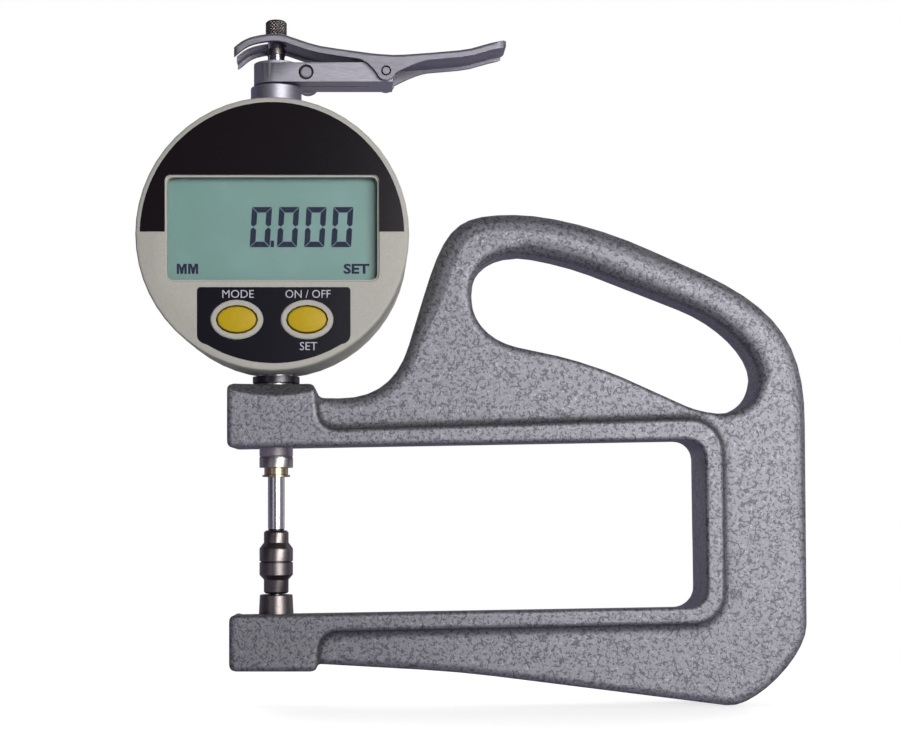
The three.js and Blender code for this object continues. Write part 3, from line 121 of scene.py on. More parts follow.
def add_node(tree, kind, values=None, links=None, **settings):
    """A node of this kind, with input values, incoming links and settings."""
    made = tree.nodes.new(kind)
    for name, value in settings.items():
        setattr(made, name, value)
    for name, value in (values or {}).items():
        made.inputs[name].default_value = value
    for name, socket in (links or {}).items():
        tree.links.new(socket, made.inputs[name])
    return made


def new_material(name, **values):
    """A material with one principled shader, and its tree and shader."""
    material = bpy.data.materials.new(name)
    material.use_nodes = True
    tree = material.node_tree
    tree.nodes.clear()
    shader = add_node(tree, "ShaderNodeBsdfPrincipled")
    for key, value in values.items():
        shader.inputs[key.replace("_", " ")].default_value = value
    add_node(tree, "ShaderNodeOutputMaterial", links={"Surface": shader.outputs["BSDF"]})
    return material, tree, shader


def set_ramp(ramp, stops):
    """Gives a colour ramp its stops, each a place and a colour."""
    elements = ramp.color_ramp.elements
    while len(elements) < len(stops):
        elements.new(0.5)
    for element, (place, colour) in zip(elements, stops):
        element.position = place
        element.color = colour


# %% [markdown]
# Hammered enamel is sprayed on castings to hide their skin. Silicone in the
# paint makes it pull into cells of one to two millimetres, full of aluminium
# flake, with darker seams between them. The flakes lie flat in the film like
# small mirrors, so the shader is mostly metallic: it is bright where it
# returns the lamp, and falls off beside that. Its patterns start from noise
# of real widths, given here in millimetres, each with its depth of detail.

# %% Hammered silver-grey enamel
enamel, tree, shader = new_material("hammered_enamel", Roughness=0.55, Metallic=0.65)
place = add_node(tree, "ShaderNodeTexCoord")
patterns = {
    "bend": (1.6, 2.0),
    "fade": (1.0, 2.0),
    "dots": (0.6, 1.0),
    "grain": (0.4, 3.0),
    "mottle": (0.9, 1.0),
}
noise = {
    pattern: add_node(
        tree, "ShaderNodeTexNoise",
        values={"Scale": 1 / (width_mm * MM), "Detail": detail, "Roughness": 0.6},
        links={"Vector": place.outputs["Object"]},
    )
    for pattern, (width_mm, detail) in patterns.items()
}
print("enamel patterns, mm:", {name: width for name, (width, _) in patterns.items()})

# %% [markdown]
# Each tone of the paint is such a pattern, or a measure of the casting, taken
# from one range to another. Fine noise leaves small dark dots, an uneven grain
# and a few bright flecks, which are painted glints. Ambient occlusion finds the
# nooks and paints shade into them, and the lower left of the casting, the jaw
# end, is painted darker, as shade where the light falls off.

# %% Tones of the enamel
SEAM = 0.22
JAW_SHADE = 0.78
NOOK_SHADE = 2.6
RANGE = ("From Min", "From Max", "To Min", "To Max")
axes = add_node(tree, "ShaderNodeSeparateXYZ", links={"Vector": place.outputs["Object"]})
# Painted shade: ambient occlusion darkens the enamel's colour in nooks and along the steps of the
# rib.
nook_shade = add_node(
    tree, "ShaderNodeAmbientOcclusion", values={"Distance": NOOK_SHADE * MM}, samples=8, only_local=True,
)
ranges = {
    "fade": (noise["fade"].outputs["Fac"], 0.4, 0.57, 0.0, SEAM),
    "dots": (noise["dots"].outputs["Fac"], 0.28, 0.47, 0.1, 1.0),
    # Painted glints: the top of the fine noise makes a few flecks brighter in colour.
    "sparkle": (noise["dots"].outputs["Fac"], 0.66, 0.74, 1.0, 1.5),
    "grain": (noise["grain"].outputs["Fac"], 0.3, 0.7, 0.92, 1.08),
    "relief": (noise["grain"].outputs["Fac"], 0.0, 1.0, 0.0, 0.4),
    "mottle": (noise["mottle"].outputs["Fac"], 0.3, 0.7, 0.95, 1.05),
    # Painted shade: the colour is darker towards the lower left of the casting, the jaw end, where
    # the light falls off.
    "jaw_shade_along_x": (axes.outputs["X"], 0.01, 0.07, JAW_SHADE, 1.0),
    "jaw_shade_along_z": (axes.outputs["Z"], 0.014, 0.03, JAW_SHADE, 1.0),
    "nook_shade": (nook_shade.outputs["AO"], 0.7, 0.965, 0.03, 1.0),
}
tone = {
    name: add_node(
        tree, "ShaderNodeMapRange", values=dict(zip(RANGE, limits)), links={"Value": source},
        interpolation_type="SMOOTHSTEP",
    ).outputs["Result"]
    for name, (source, *limits) in ranges.items()
}
print("enamel tones:", len(tone))

# %% [markdown]
# A texture of cells, measured from their edges, gives the seams. Noise bends
# it, so that they don't run straight, and more noise fades them out here and
# there, because no two cells of the paint are alike. The darker of seam and
# dot sets the colour.

# %% Cells and seams of the enamel
CELL = 1.5
BEND_BY = 1.3
centred = add_node(
    tree, "ShaderNodeVectorMath", values={1: (0.5, 0.5, 0.5)},
    links={0: noise["bend"].outputs["Color"]}, operation="SUBTRACT",
)
bent_place = add_node(
    tree, "ShaderNodeVectorMath", values={1: (BEND_BY * MM, BEND_BY * MM, BEND_BY * MM)},
    links={0: centred.outputs[0], 2: place.outputs["Object"]}, operation="MULTIPLY_ADD",
)
cells = add_node(
    tree, "ShaderNodeTexVoronoi", values={"Scale": 1 / (CELL * MM), "Randomness": 1.0},
    links={"Vector": bent_place.outputs[0]}, feature="DISTANCE_TO_EDGE",
)
to_seam = add_node(
    tree, "ShaderNodeMath", links={0: cells.outputs["Distance"], 1: tone["fade"]}, operation="ADD",
)
seam_tone = add_node(
    tree, "ShaderNodeMapRange", values=dict(zip(RANGE, (0.0, SEAM, 0.0, 1.0))),
    links={"Value": to_seam.outputs[0]}, interpolation_type="SMOOTHSTEP",
)
film = add_node(
    tree, "ShaderNodeMath", links={0: seam_tone.outputs["Result"], 1: tone["dots"]},
    operation="MINIMUM",
).outputs[0]
seams = add_node(tree, "ShaderNodeValToRGB", links={"Fac": film})
set_ramp(seams, [(0.0, linear("#525158")), (0.5, linear("#69686f")), (1.0, linear("#7d7c81"))])
print("enamel cells", CELL, "mm, bent by up to", BEND_BY / 2, "mm")

# %% [markdown]
# The tones multiply into one level, which scales the colour of the seams and
# carries the painted shade and glints. The film and its grain also stand a
# little proud, and a bump node shows that.

# %% Level and relief of the enamel
RELIEF = 0.06
# The painted shade of the jaw also dims the painted glints.
lower_jaw_shade = add_node(
    tree, "ShaderNodeMath", links={0: tone["jaw_shade_along_x"], 1: tone["jaw_shade_along_z"]}, operation="MAXIMUM",
)
sparkle_and_jaw_shade = add_node(
    tree, "ShaderNodeMath", links={0: tone["sparkle"], 1: lower_jaw_shade.outputs[0]}, operation="MULTIPLY",
)
level = tone["mottle"]
for layer in (tone["grain"], sparkle_and_jaw_shade.outputs[0], tone["nook_shade"]):
    level = add_node(
        tree, "ShaderNodeMath", links={0: level, 1: layer}, operation="MULTIPLY",
    ).outputs[0]
speckled_and_shaded = add_node(
    tree, "ShaderNodeVectorMath", links={0: seams.outputs["Color"], "Scale": level},
    operation="SCALE",
)
height = add_node(tree, "ShaderNodeMath", links={0: film, 1: tone["relief"]}, operation="ADD")
bump = add_node(
    tree, "ShaderNodeBump", values={"Strength": 0.3, "Distance": RELIEF * MM},
    links={"Height": height.outputs[0]},
)
tree.links.new(speckled_and_shaded.outputs[0], shader.inputs["Base Color"])
tree.links.new(bump.outputs["Normal"], shader.inputs["Normal"])
print("enamel nodes:", len(tree.nodes))

# %% [markdown]
# The case is moulded ABS with a fine spark-eroded texture, so it is warm,
# light and soft in its gloss. The texture is finer than a pixel, and is
# drawn a little coarser so that it takes the hardness off the highlights.

# %% Plastics
def toned(colour, share):
    """A hex colour as linear light, darker or lighter by a share."""
    return tuple(min(1.0, v * share) for v in linear(colour)[:3]) + (1.0,)


def moulded(name, colour, roughness, grain_mm, depth_mm, **values):
    """A moulded plastic: an even colour with a fine eroded texture."""
    material, tree, shader = new_material(name, Roughness=roughness, **values)
    place = add_node(tree, "ShaderNodeTexCoord")
    texture = add_node(
        tree, "ShaderNodeTexNoise",
        values={"Scale": 1 / (grain_mm * MM), "Detail": 2.0, "Roughness": 0.5},
        links={"Vector": place.outputs["Object"]},
    )
    ramp = add_node(tree, "ShaderNodeValToRGB", links={"Fac": texture.outputs["Fac"]})
    set_ramp(ramp, [(0.35, toned(colour, 0.95)), (0.65, toned(colour, 1.04))])
    relief = add_node(
        tree, "ShaderNodeBump", values={"Strength": 0.3, "Distance": depth_mm * MM},
        links={"Height": texture.outputs["Fac"]},
    )
    tree.links.new(ramp.outputs["Color"], shader.inputs["Base Color"])
    tree.links.new(relief.outputs["Normal"], shader.inputs["Normal"])
    return material


abs_case = moulded("moulded_abs_case", "#a9a79f", 0.65, 0.35, 0.02, Specular_IOR_Level=0.1)
abs_button = moulded("moulded_yellow_button", "#b0940a", 0.45, 0.5, 0.01, Specular_IOR_Level=0.2)
abs_black = moulded("moulded_black_nylon", "#1b1a1c", 0.5, 0.3, 0.02)
film_black = moulded("screen_printed_black", "#120d10", 0.15, 0.6, 0.004)
film_navy = moulded("screen_printed_navy", "#100f18", 0.2, 0.6, 0.006, Specular_IOR_Level=0.3)
ink_pale = moulded("screen_printed_pale_ink", "#a9a6b2", 0.5, 0.5, 0.004)
ink_crystal = moulded("crystal_segments", "#1b1a3a", 0.7, 0.5, 0.004, Specular_IOR_Level=0.0)
laminate = moulded("solder_masked_board", "#1d5638", 0.45, 0.8, 0.02)
print("materials with the plastics:", len(bpy.data.materials))

# %% [markdown]
# A reflective liquid crystal display is a grey-green mirror behind a
# polariser. Its colour drifts a little over its width, because the film and
# the spacers are never quite even.

# %% Liquid crystal display and its pane
CLOUD = 14
crystal, tree, shader = new_material(
    "reflective_crystal", Roughness=0.35, Specular_IOR_Level=0.35,
)
place = add_node(tree, "ShaderNodeTexCoord")
cloud = add_node(
    tree, "ShaderNodeTexNoise",
    values={"Scale": 1 / (CLOUD * MM), "Detail": 3.0, "Roughness": 0.55},
    links={"Vector": place.outputs["Object"]},
)
drift = add_node(tree, "ShaderNodeValToRGB", links={"Fac": cloud.outputs["Fac"]})
set_ramp(drift, [(0.3, linear("#6b9288")), (0.5, linear("#72968f")), (0.7, linear("#789d97"))])
tree.links.new(drift.outputs["Color"], shader.inputs["Base Color"])

pane = new_material(
    "acrylic_pane", Roughness=0.04, Alpha=0.04, IOR=1.49, Base_Color=linear("#95a2a0"),
)[0]
print("display and pane:", crystal.name, pane.name)

# %% [markdown]
# The metals differ in how they were finished, and that is what the eye
# reads. Turned steel keeps fine rings round its axis, pressed aluminium has
# a satin skin, and the spindle is ground and polished.

# %% Metals
def metal(name, colour, roughness, line_mm, stretch, depth_mm):
    """A metal with fine lines: stretch says how the lines run along each axis."""
    material, tree, shader = new_material(name, Roughness=roughness, Metallic=1.0)
    place = add_node(tree, "ShaderNodeTexCoord")
    lay = add_node(
        tree, "ShaderNodeMapping", values={"Scale": stretch},
        links={"Vector": place.outputs["Object"]},
    )
    lines = add_node(
        tree, "ShaderNodeTexNoise",
        values={"Scale": 1 / (line_mm * MM), "Detail": 3.0, "Roughness": 0.6},
        links={"Vector": lay.outputs["Vector"]},
    )
    ramp = add_node(tree, "ShaderNodeValToRGB", links={"Fac": lines.outputs["Fac"]})
    set_ramp(ramp, [(0.3, toned(colour, 0.86)), (0.7, toned(colour, 1.1))])
    relief = add_node(
        tree, "ShaderNodeBump", values={"Strength": 0.25, "Distance": depth_mm * MM},
        links={"Height": lines.outputs["Fac"]},
    )
    tree.links.new(ramp.outputs["Color"], shader.inputs["Base Color"])
    tree.links.new(relief.outputs["Normal"], shader.inputs["Normal"])
    return material


ALONG_SHEET = (0.15, 1, 1)
ROUND_AXIS = (0.2, 0.2, 1)
pressed_aluminium = metal("satin_aluminium", "#918f96", 0.62, 0.4, ALONG_SHEET, 0.01)
milled_aluminium = metal("milled_aluminium", "#a19fa7", 0.62, 0.4, ALONG_SHEET, 0.01)
turned_steel = metal("turned_hardened_steel", "#716b69", 0.36, 0.25, ROUND_AXIS, 0.006)
stem_steel = metal("ground_stem_steel", "#a39e9c", 0.36, 0.25, ROUND_AXIS, 0.004)
ground_steel = metal("ground_polished_steel", "#c4c2c6", 0.2, 0.3, (0.3, 0.3, 1), 0.002)
plated_collar = metal("satin_nickel_plate", "#9f9da7", 0.5, 0.3, ROUND_AXIS, 0.004)
turned_brass = metal("turned_pale_brass", "#ab9c7c", 0.3, 0.25, ROUND_AXIS, 0.006)
black_oxide = metal("blackened_screw_steel", "#4a484c", 0.35, 0.3, (1, 1, 1), 0.006)
print("materials with the metals:", len(bpy.data.materials))

# %% [markdown]
# Most solids have the right shape already and need only crisp, slightly
# broken edges. A copy of each is cleaned, its flat faces are joined again,
# and a small bevel catches the light as a real edge does.

# %% Copies of the solids with broken edges
WELD = 0.002
FLAT = 0.4
SHARP = 32


def clean_copy(node, name=None):
    """A new object with the node's shape, its facets merged into faces."""
    source = frame["nodes"][node]
    work = bmesh.new()
    work.from_mesh(source.data)
    work.transform(source.matrix_world)
    bmesh.ops.remove_doubles(work, verts=work.verts, dist=WELD * MM)
    bmesh.ops.dissolve_limit(
        work, angle_limit=math.radians(FLAT), verts=work.verts, edges=work.edges,
    )
    mesh = bpy.data.meshes.new(name or f"{node}_finished")
    work.to_mesh(mesh)
    work.free()
    piece = bpy.data.objects.new(mesh.name, mesh)
    scene.collection.objects.link(piece)
    return piece


def soften(piece, material, sharp=SHARP):
    """Smooth shading that keeps the edges sharper than this angle."""
    piece.data.materials.clear()
    piece.data.materials.append(material)
    for face in piece.data.polygons:
        face.use_smooth = True
    piece.data.set_sharp_from_angle(angle=math.radians(sharp))


def broken_edges(piece, width_mm):
    """A small bevel along every edge that turns by more than the limit."""
    bevel = piece.modifiers.new("broken_edges", "BEVEL")
    bevel.width = width_mm * MM
    bevel.segments = 2
    bevel.limit_method = "ANGLE"
    bevel.angle_limit = math.radians(SHARP)
    bevel.use_clamp_overlap = True
    bevel.harden_normals = True


# %% [markdown]
# Each working piece gets the metal or plastic that it is made of, and a bevel
# as wide as a maker would break that edge: less on the small bush, more on
# the plated collar. The keys are moulded round, so they need no bevel. A copy
# takes the place of its node, and keeps the node's body.

# %% Finish the turned and milled pieces
BODY_OF = {
    node: body
    for body, nodes in frame["record"]["behaviour"]["bodies"].items()
    for node in nodes
}
finishes = {
    "anvil": (turned_steel, 0.12),
    "anvil_holder": (turned_steel, 0.15),
    "contact_point": (turned_steel, 0.12),
    "stem": (stem_steel, 0.12),
    "guide_bush": (turned_brass, 0.08),
    "stem_collar": (black_oxide, 0.15),
    "spindle": (ground_steel, 0.1),
    "lock_nut": (turned_steel, 0.1),
    "top_bush": (turned_steel, 0.1),
    "top_collar": (plated_collar, 0.25),
    "clamp_block": (milled_aluminium, 0.2),
    "clamp_screw": (pressed_aluminium, 0.1),
    "pivot_pin": (pressed_aluminium, 0.15),
    "lever": (pressed_aluminium, 0.15),
    "front_housing": (abs_case, 0.15),
    "rear_cover": (abs_case, 0.15),
    "battery_cap": (abs_black, 0.15),
    "button_mode": (abs_button, 0.0),
    "button_set": (abs_button, 0.0),
}
for node, (material, width_mm) in finishes.items():
    piece = clean_copy(node)
    soften(piece, material)
    if width_mm > 0:
        broken_edges(piece, width_mm)
    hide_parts(node)
    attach(piece, BODY_OF[node])
print("finished copies:", len(finishes))

# %% [markdown]
# The solids keep a little air between them, where the real ones touch. The
# contact is screwed home on a seat ring, and its carbide face rests on the
# anvil. Both are thin dark discs that travel with the contact, and their dark
# tone is partly painted shade in these two joints.

# %% Seat ring and carbide face of the contact
AIR = 0.02
DISC_EDGE = 0.02
DISC_SIDES = 64
SEAT_RADIUS = 1.9
CARBIDE_RADIUS = 3.7


def disc(name, radius, low, high):
    """A thin round disc on the axis of the spindle, heights in millimetres."""
    mesh = bpy.data.meshes.new(name)
    work = bmesh.new()
    bmesh.ops.create_cone(
        work, cap_ends=True, segments=DISC_SIDES, radius1=radius * MM, radius2=radius * MM,
        depth=(high - low) * MM, matrix=Matrix.Translation((0, 0, (low + high) / 2 * MM)),
    )
    work.to_mesh(mesh)
    work.free()
    piece = bpy.data.objects.new(name, mesh)
    scene.collection.objects.link(piece)
    soften(piece, black_oxide)
    broken_edges(piece, DISC_EDGE)
    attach(piece, BODY_OF["contact_point"])
    print(name, round(high - low, 2), "mm thick")


contact_low, contact_high = [point[2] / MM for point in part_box("contact_point")]
anvil_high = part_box("anvil")[1][2] / MM
spindle_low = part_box("spindle")[0][2] / MM
# Dark discs in the joints: a real seat and face, and partly painted shade.
disc("seat_ring_and_shade", SEAT_RADIUS, contact_high + AIR, spindle_low - AIR)
disc("carbide_face_and_shade", CARBIDE_RADIUS, anvil_high + AIR, contact_low - AIR)

# %% [markdown]
# Pieces that hide inside the case or in the casting keep their solids, and
# only get the material that they are made of.

# %% Materials for the pieces that stay as they are
plain = {
    "anvil_set_screw": black_oxide,
    "stem_set_screw": black_oxide,
    "cover_screw_1": turned_steel,
    "cover_screw_2": turned_steel,
    "cover_screw_3": turned_steel,
    "cover_screw_4": turned_steel,
    "battery": plated_collar,
    "lcd_window": pane,
    "lcd_module": crystal,
    "circuit_board": laminate,
    "reader_head": abs_black,
    "switch_mode": abs_black,
    "switch_set": abs_black,
    "scale_carrier": pressed_aluminium,
    "glass_scale": pane,
    "anti_rotation_pin": ground_steel,
    "guide_rail": pressed_aluminium,
    "return_spring": ground_steel,
}
for node, material in plain.items():
    data = frame["nodes"][node].data
    data.materials.clear()
    data.materials.append(material)
print("kept solids:", len(plain))

# %% [markdown]
# A sand casting has no sharp edge anywhere, and thick enamel rounds it
# further. Voxel remeshing the solid and relaxing the result gives that
# flowing skin, which follows the rib, the web and the grip in one surface.

# %% Cast frame with its enamel
VOXEL = 0.4
casting = clean_copy("frame", "frame_casting")
remesh = casting.modifiers.new("skin", "REMESH")
remesh.mode = "VOXEL"
remesh.voxel_size = VOXEL * MM
relax = casting.modifiers.new("relax", "SMOOTH")
relax.factor = 0.5
relax.iterations = 3
depsgraph = bpy.context.evaluated_depsgraph_get()
skin = bpy.data.meshes.new_from_object(casting.evaluated_get(depsgraph))
casting.modifiers.clear()
casting.data = skin
casting.data.materials.clear()
casting.data.materials.append(enamel)
for face in casting.data.polygons:
    face.use_smooth = True
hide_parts("frame")
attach(casting, "gauge")
print("casting faces:", len(casting.data.polygons))

# %% [markdown]
# The lifting cap is knurled for the fingers. A knurl is two sets of helical
# grooves that cross, and leave small diamonds. It is made here as a turned
# skin whose radius dips where either set of grooves runs.

# %% Radius of the knurl
CAP_LOW, CAP_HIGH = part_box("lifting_cap")
cap_radius = (CAP_HIGH[0] - CAP_LOW[0]) / 2
cap_foot = CAP_LOW[2]
cap_top = CAP_HIGH[2]
KNURL_PITCH = 0.85 * MM
KNURL_DEPTH = 0.24 * MM
KNURL_LEAN = 0.85
KNURL_FLANK = 1.25
teeth = round(2 * math.pi * cap_radius / KNURL_PITCH)


def knurled(angle, turn):
    """The radius at an angle, where the grooves have turned by this much."""
    one = abs(math.sin(teeth * (angle + turn) / 2))
    two = abs(math.sin(teeth * (angle - turn) / 2))
    return cap_radius - KNURL_DEPTH * (1 - min(1.0, KNURL_FLANK * min(one, two)))


print("knurl teeth:", teeth)

# %% [markdown]
# Rings of points are stacked up the cap: two that close its foot, the knurled
# ones, and two that close its top. Faces then join each ring to the next.

# %% Knurled lifting cap
CAP_EDGE = 0.4 * MM
AROUND = 132
ROWS = 34
KNURL_SHARP = 50
angles = [2 * math.pi * step / AROUND for step in range(AROUND)]
edge_ring = [cap_radius - CAP_EDGE] * AROUND
neck_ring = [cap_radius - KNURL_DEPTH] * AROUND
levels = [(cap_foot, edge_ring), (cap_foot + CAP_EDGE / 2, neck_ring)]
for row in range(ROWS + 1):
    rise = row / ROWS
    turn = rise * (cap_top - cap_foot) / cap_radius * KNURL_LEAN
    z = cap_foot + CAP_EDGE + rise * (cap_top - cap_foot - 2 * CAP_EDGE)
    levels.append((z, [knurled(angle, turn) for angle in angles]))
levels += [(cap_top - CAP_EDGE / 2, neck_ring), (cap_top, edge_ring)]

work = bmesh.new()
rings = [
    [work.verts.new((r * math.cos(a), r * math.sin(a), z)) for a, r in zip(angles, radii)]
    for z, radii in levels
]
for low, high in zip(rings, rings[1:]):
    for step in range(AROUND):
        following = (step + 1) % AROUND
        work.faces.new((low[step], low[following], high[following], high[step]))
work.faces.new(rings[-1])
work.faces.new(list(reversed(rings[0])))
cap_mesh = bpy.data.meshes.new("knurled_cap")
work.to_mesh(cap_mesh)
work.free()
cap = bpy.data.objects.new("knurled_cap", cap_mesh)
scene.collection.objects.link(cap)
soften(cap, turned_steel, KNURL_SHARP)
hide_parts("lifting_cap")
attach(cap, "spindle_set")
print("cap faces:", len(cap_mesh.polygons))

# %% [markdown]
# The black half moon and the blue-black key panel are printed films stuck on
# the face, which stand a twentieth of a millimetre proud. Each is a flat
# outline, with holes where the keys come through. A curve with inner splines
# fills such an outline by itself. The figures of the display are made the
# same way, from many small outlines.

# %% Flat films from outlines
FACE_Y = -17.0
HEAD_CENTRE = 100.8
FILM_PROUD = 0.05
FILM_THICKNESS = 0.06


def mesh_of(data, name):
    """The flat mesh that curve or text data makes."""
    maker = bpy.data.objects.new(name, data)
    scene.collection.objects.link(maker)
    depsgraph = bpy.context.evaluated_depsgraph_get()
    mesh = bpy.data.meshes.new_from_object(maker.evaluated_get(depsgraph))
    bpy.data.objects.remove(maker)
    return mesh


def stand_up(name, mesh, x, y, z, material):
    """Stands a flat mesh upright on the face, at a place in millimetres."""
    mesh.transform(Matrix.Rotation(math.radians(90), 4, "X"))
    mesh.transform(Matrix.Translation((x * MM, y * MM, z * MM)))
    piece = bpy.data.objects.new(name, mesh)
    scene.collection.objects.link(piece)
    piece.data.materials.clear()
    piece.data.materials.append(material)
    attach(piece, "gauge")
    print(name, len(mesh.polygons), "faces")


def flat_film(name, loops, front_y, thickness, material):
    """A thin plate in the plane of the face; inner loops are holes."""
    data = bpy.data.curves.new(name, "CURVE")
    data.dimensions = "2D"
    data.fill_mode = "BOTH"
    data.extrude = thickness * MM / 2
    for loop in loops:
        spline = data.splines.new("POLY")
        spline.points.add(len(loop) - 1)
        for point, (x, z) in zip(spline.points, loop):
            point.co = (x * MM, z * MM, 0, 1)
        spline.use_cyclic_u = True
    mesh = mesh_of(data, f"{name}_curve")
    stand_up(name, mesh, 0, front_y + thickness / 2, 0, material)


def arc(radius, start, end, steps, cx=0.0, cz=HEAD_CENTRE):
    """Points on an arc, in degrees."""
    places = [start + (end - start) * i / steps for i in range(steps + 1)]
    return [
        (cx + radius * math.cos(math.radians(a)), cz + radius * math.sin(math.radians(a)))
        for a in places
    ]


# %% [markdown]
# The half moon fills the upper part of the face and steps round the window.
# Its outline is one large arc, closed by the straight edge and by the two
# round corners that follow the frame of the window.

# %% Black half moon over the window
WINDOW_HALF = 24.0
WINDOW_TOP = 113.7
WINDOW_FRAME = 0.45
WINDOW_CORNER = 1.3
MOON_RADIUS = 30.15
MOON_CENTRE = 100.6
MOON_EDGE = 101.2
edge_angle = math.degrees(math.asin((MOON_EDGE - MOON_CENTRE) / MOON_RADIUS))
frame_half = WINDOW_HALF + WINDOW_FRAME
corner_x = frame_half - WINDOW_CORNER
corner_z = WINDOW_TOP + WINDOW_FRAME - WINDOW_CORNER
moon = (
    arc(MOON_RADIUS, edge_angle, 180 - edge_angle, 96, 0.0, MOON_CENTRE)
    + [(-frame_half, MOON_EDGE)]
    + arc(WINDOW_CORNER, 180, 90, 6, -corner_x, corner_z)
    + arc(WINDOW_CORNER, 90, 0, 6, corner_x, corner_z)
    + [(frame_half, MOON_EDGE)]
)
flat_film(
    "print_half_moon", [moon], FACE_Y - FILM_PROUD, FILM_THICKNESS, film_black,
)

# %% [markdown]
# The key panel is straight on top and follows the round case below. Its lower
# corners are soft bends, each pulled towards a point beside it.

# %% Outline of the key panel
PANEL_HALF = 17.5
PANEL_TOP = 88.55
PANEL_SIDE = 76.55
PANEL_RADIUS = 29.6
PANEL_SHIFT = 0.4
PANEL_CORNER = 0.8
BEND_ANGLE = 5
BEND_START = 1.2
BEND_PULL = 0.6


def bent(start, control, end, steps=8):
    """Points on a bend from one point to another, pulled to a third."""
    shares = [i / steps for i in range(steps + 1)]
    return [
        tuple(
            (1 - t) ** 2 * a + 2 * t * (1 - t) * b + t * t * c
            for a, b, c in zip(start, control, end)
        )
        for t in shares
    ]


low_angle = math.degrees(math.acos(PANEL_HALF / PANEL_RADIUS)) + BEND_ANGLE
low_arc = arc(PANEL_RADIUS, 180 + low_angle, 360 - low_angle, 40)
side_end, side_pull = PANEL_SIDE + BEND_START, PANEL_SIDE - BEND_PULL
corner_x = PANEL_HALF - PANEL_CORNER
corner_z = PANEL_TOP - PANEL_CORNER
panel = (
    bent((-PANEL_HALF, side_end), (-PANEL_HALF, side_pull), low_arc[0])
    + low_arc[1:-1]
    + bent(low_arc[-1], (PANEL_HALF, side_pull), (PANEL_HALF, side_end))
    + arc(PANEL_CORNER, 0, 90, 5, corner_x, corner_z)
    + arc(PANEL_CORNER, 90, 180, 5, -corner_x, corner_z)
)
panel = [(x + PANEL_SHIFT, z) for x, z in panel]
print("panel outline:", len(panel), "points")

# %% [markdown]
# The two keys stand in oval cut-outs with a moulded ring round each. The
# cut-outs are inner loops of the panel, a hair wider than the rings.

# %% Key panel with its two oval cut-outs
KEY_X = 8.0
KEY_Z = 81.15
RING_HALF = (5.95, 4.44)
RING_ROOM = 0.06


def oval(cx, half_width, half_height, steps=48):
    """An oval loop round a key."""
    return [
        (
            cx + half_width * math.cos(2 * math.pi * i / steps),
            KEY_Z + half_height * math.sin(2 * math.pi * i / steps),
        )
        for i in range(steps)
    ]


cut_half = [half + RING_ROOM for half in RING_HALF]
holes = [oval(side * KEY_X, *cut_half) for side in (-1, 1)]
flat_film(
    "print_key_panel", [panel, *holes], FACE_Y - FILM_PROUD, FILM_THICKNESS, film_navy,
)

# %% [markdown]
# The display shows a plain reading. Each figure of such a display is made of
# straight bars with mitred ends, and leans a few degrees to the right.

# %% Bars of a figure
FIGURE_HEIGHT = 9.25
FIGURE_WIDTH = 4.62
STROKE = 1.28
LEAN = math.tan(math.radians(3.5))
GAP = 0.09
INNER_MITRE = 0.55
OUTER_MITRE = 0.4


def bars(left, bottom):
    """The six bars of a nought, as outlines that lean to the right."""
    w, h, t, g = FIGURE_WIDTH, FIGURE_HEIGHT, STROKE, GAP
    middle = h / 2
    inner, outer = t * INNER_MITRE, t * OUTER_MITRE
    across = [
        [(g, h), (w - g, h), (w - t - g, h - t), (t + g, h - t)],
        [(g, 0), (t + g, t), (w - t - g, t), (w - g, 0)],
    ]
    upright = [
        [
            (0, h - g), (t, h - t - g), (t, middle + inner), (t / 2, middle + g),
            (0, middle + outer),
        ],
        [(0, g), (0, middle - outer), (t / 2, middle - g), (t, middle - inner), (t, t + g)],
    ]
    mirrored = [[(w - x, z) for x, z in outline] for outline in upright]
    return [
        [(left + x + LEAN * z, bottom + z) for x, z in outline]
        for outline in across + upright + mirrored
    ]


print("bars of a nought:", len(bars(0, 0)))

# %% [markdown]
# The figures are placed by the pixels of their left edges in the picture, at
# the depth of the display. The point is a small upright bar.

# %% Figures of the display
LCD_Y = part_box("lcd_module")[0][1] / MM
INK_PROUD = 0.03
INK_THICKNESS = 0.02
FIGURES_LEFT = (249.6, 276.8, 304.1, 331.0)
FIGURES_FOOT = 247.2
POINT_LEFT = 270.6
POINT_SIZE = (0.8, 1.5)

figures = []
for pixel in FIGURES_LEFT:
    figures += bars(*from_picture(pixel, FIGURES_FOOT, LCD_Y))
left, foot = from_picture(POINT_LEFT, FIGURES_FOOT, LCD_Y)
right, top = left + POINT_SIZE[0], foot + POINT_SIZE[1]
figures.append([(left, foot), (right, foot), (right, top), (left, top)])
flat_film("display_figures", figures, LCD_Y - INK_PROUD, INK_THICKNESS, ink_crystal)

# %% [markdown]
# The unit beside the reading is two bold letters, drawn as outlines like the
# figures, because the display has heavier strokes than the typeface.

# %% Unit on the display
UNIT_ACROSS = (176.7, 198.2)
UNIT_DOWN = (263.7, 273.9)
LETTER_SHARE = 0.47
BAR_SHARE = 0.24
DIP_SHARE = 0.3
SHOULDER_SHARE = 1.3
VALLEY_SHARE = 1.2
KNEE_SHARE = 0.7


def letter_m(left, bottom, wide, tall):
    """A bold M as one outline."""
    bar, dip = wide * BAR_SHARE, tall * DIP_SHARE
    shoulder, knee = bar * SHOULDER_SHARE, tall * KNEE_SHARE
    points = [
        (0, 0), (0, tall), (shoulder, tall), (wide / 2, dip + bar * VALLEY_SHARE),
        (wide - shoulder, tall), (wide, tall), (wide, 0), (wide - bar, 0), (wide - bar, knee),
        (wide / 2 + bar / 2, 0), (wide / 2 - bar / 2, 0), (bar, knee), (bar, 0),
    ]
    return [(left + x, bottom + z) for x, z in points]


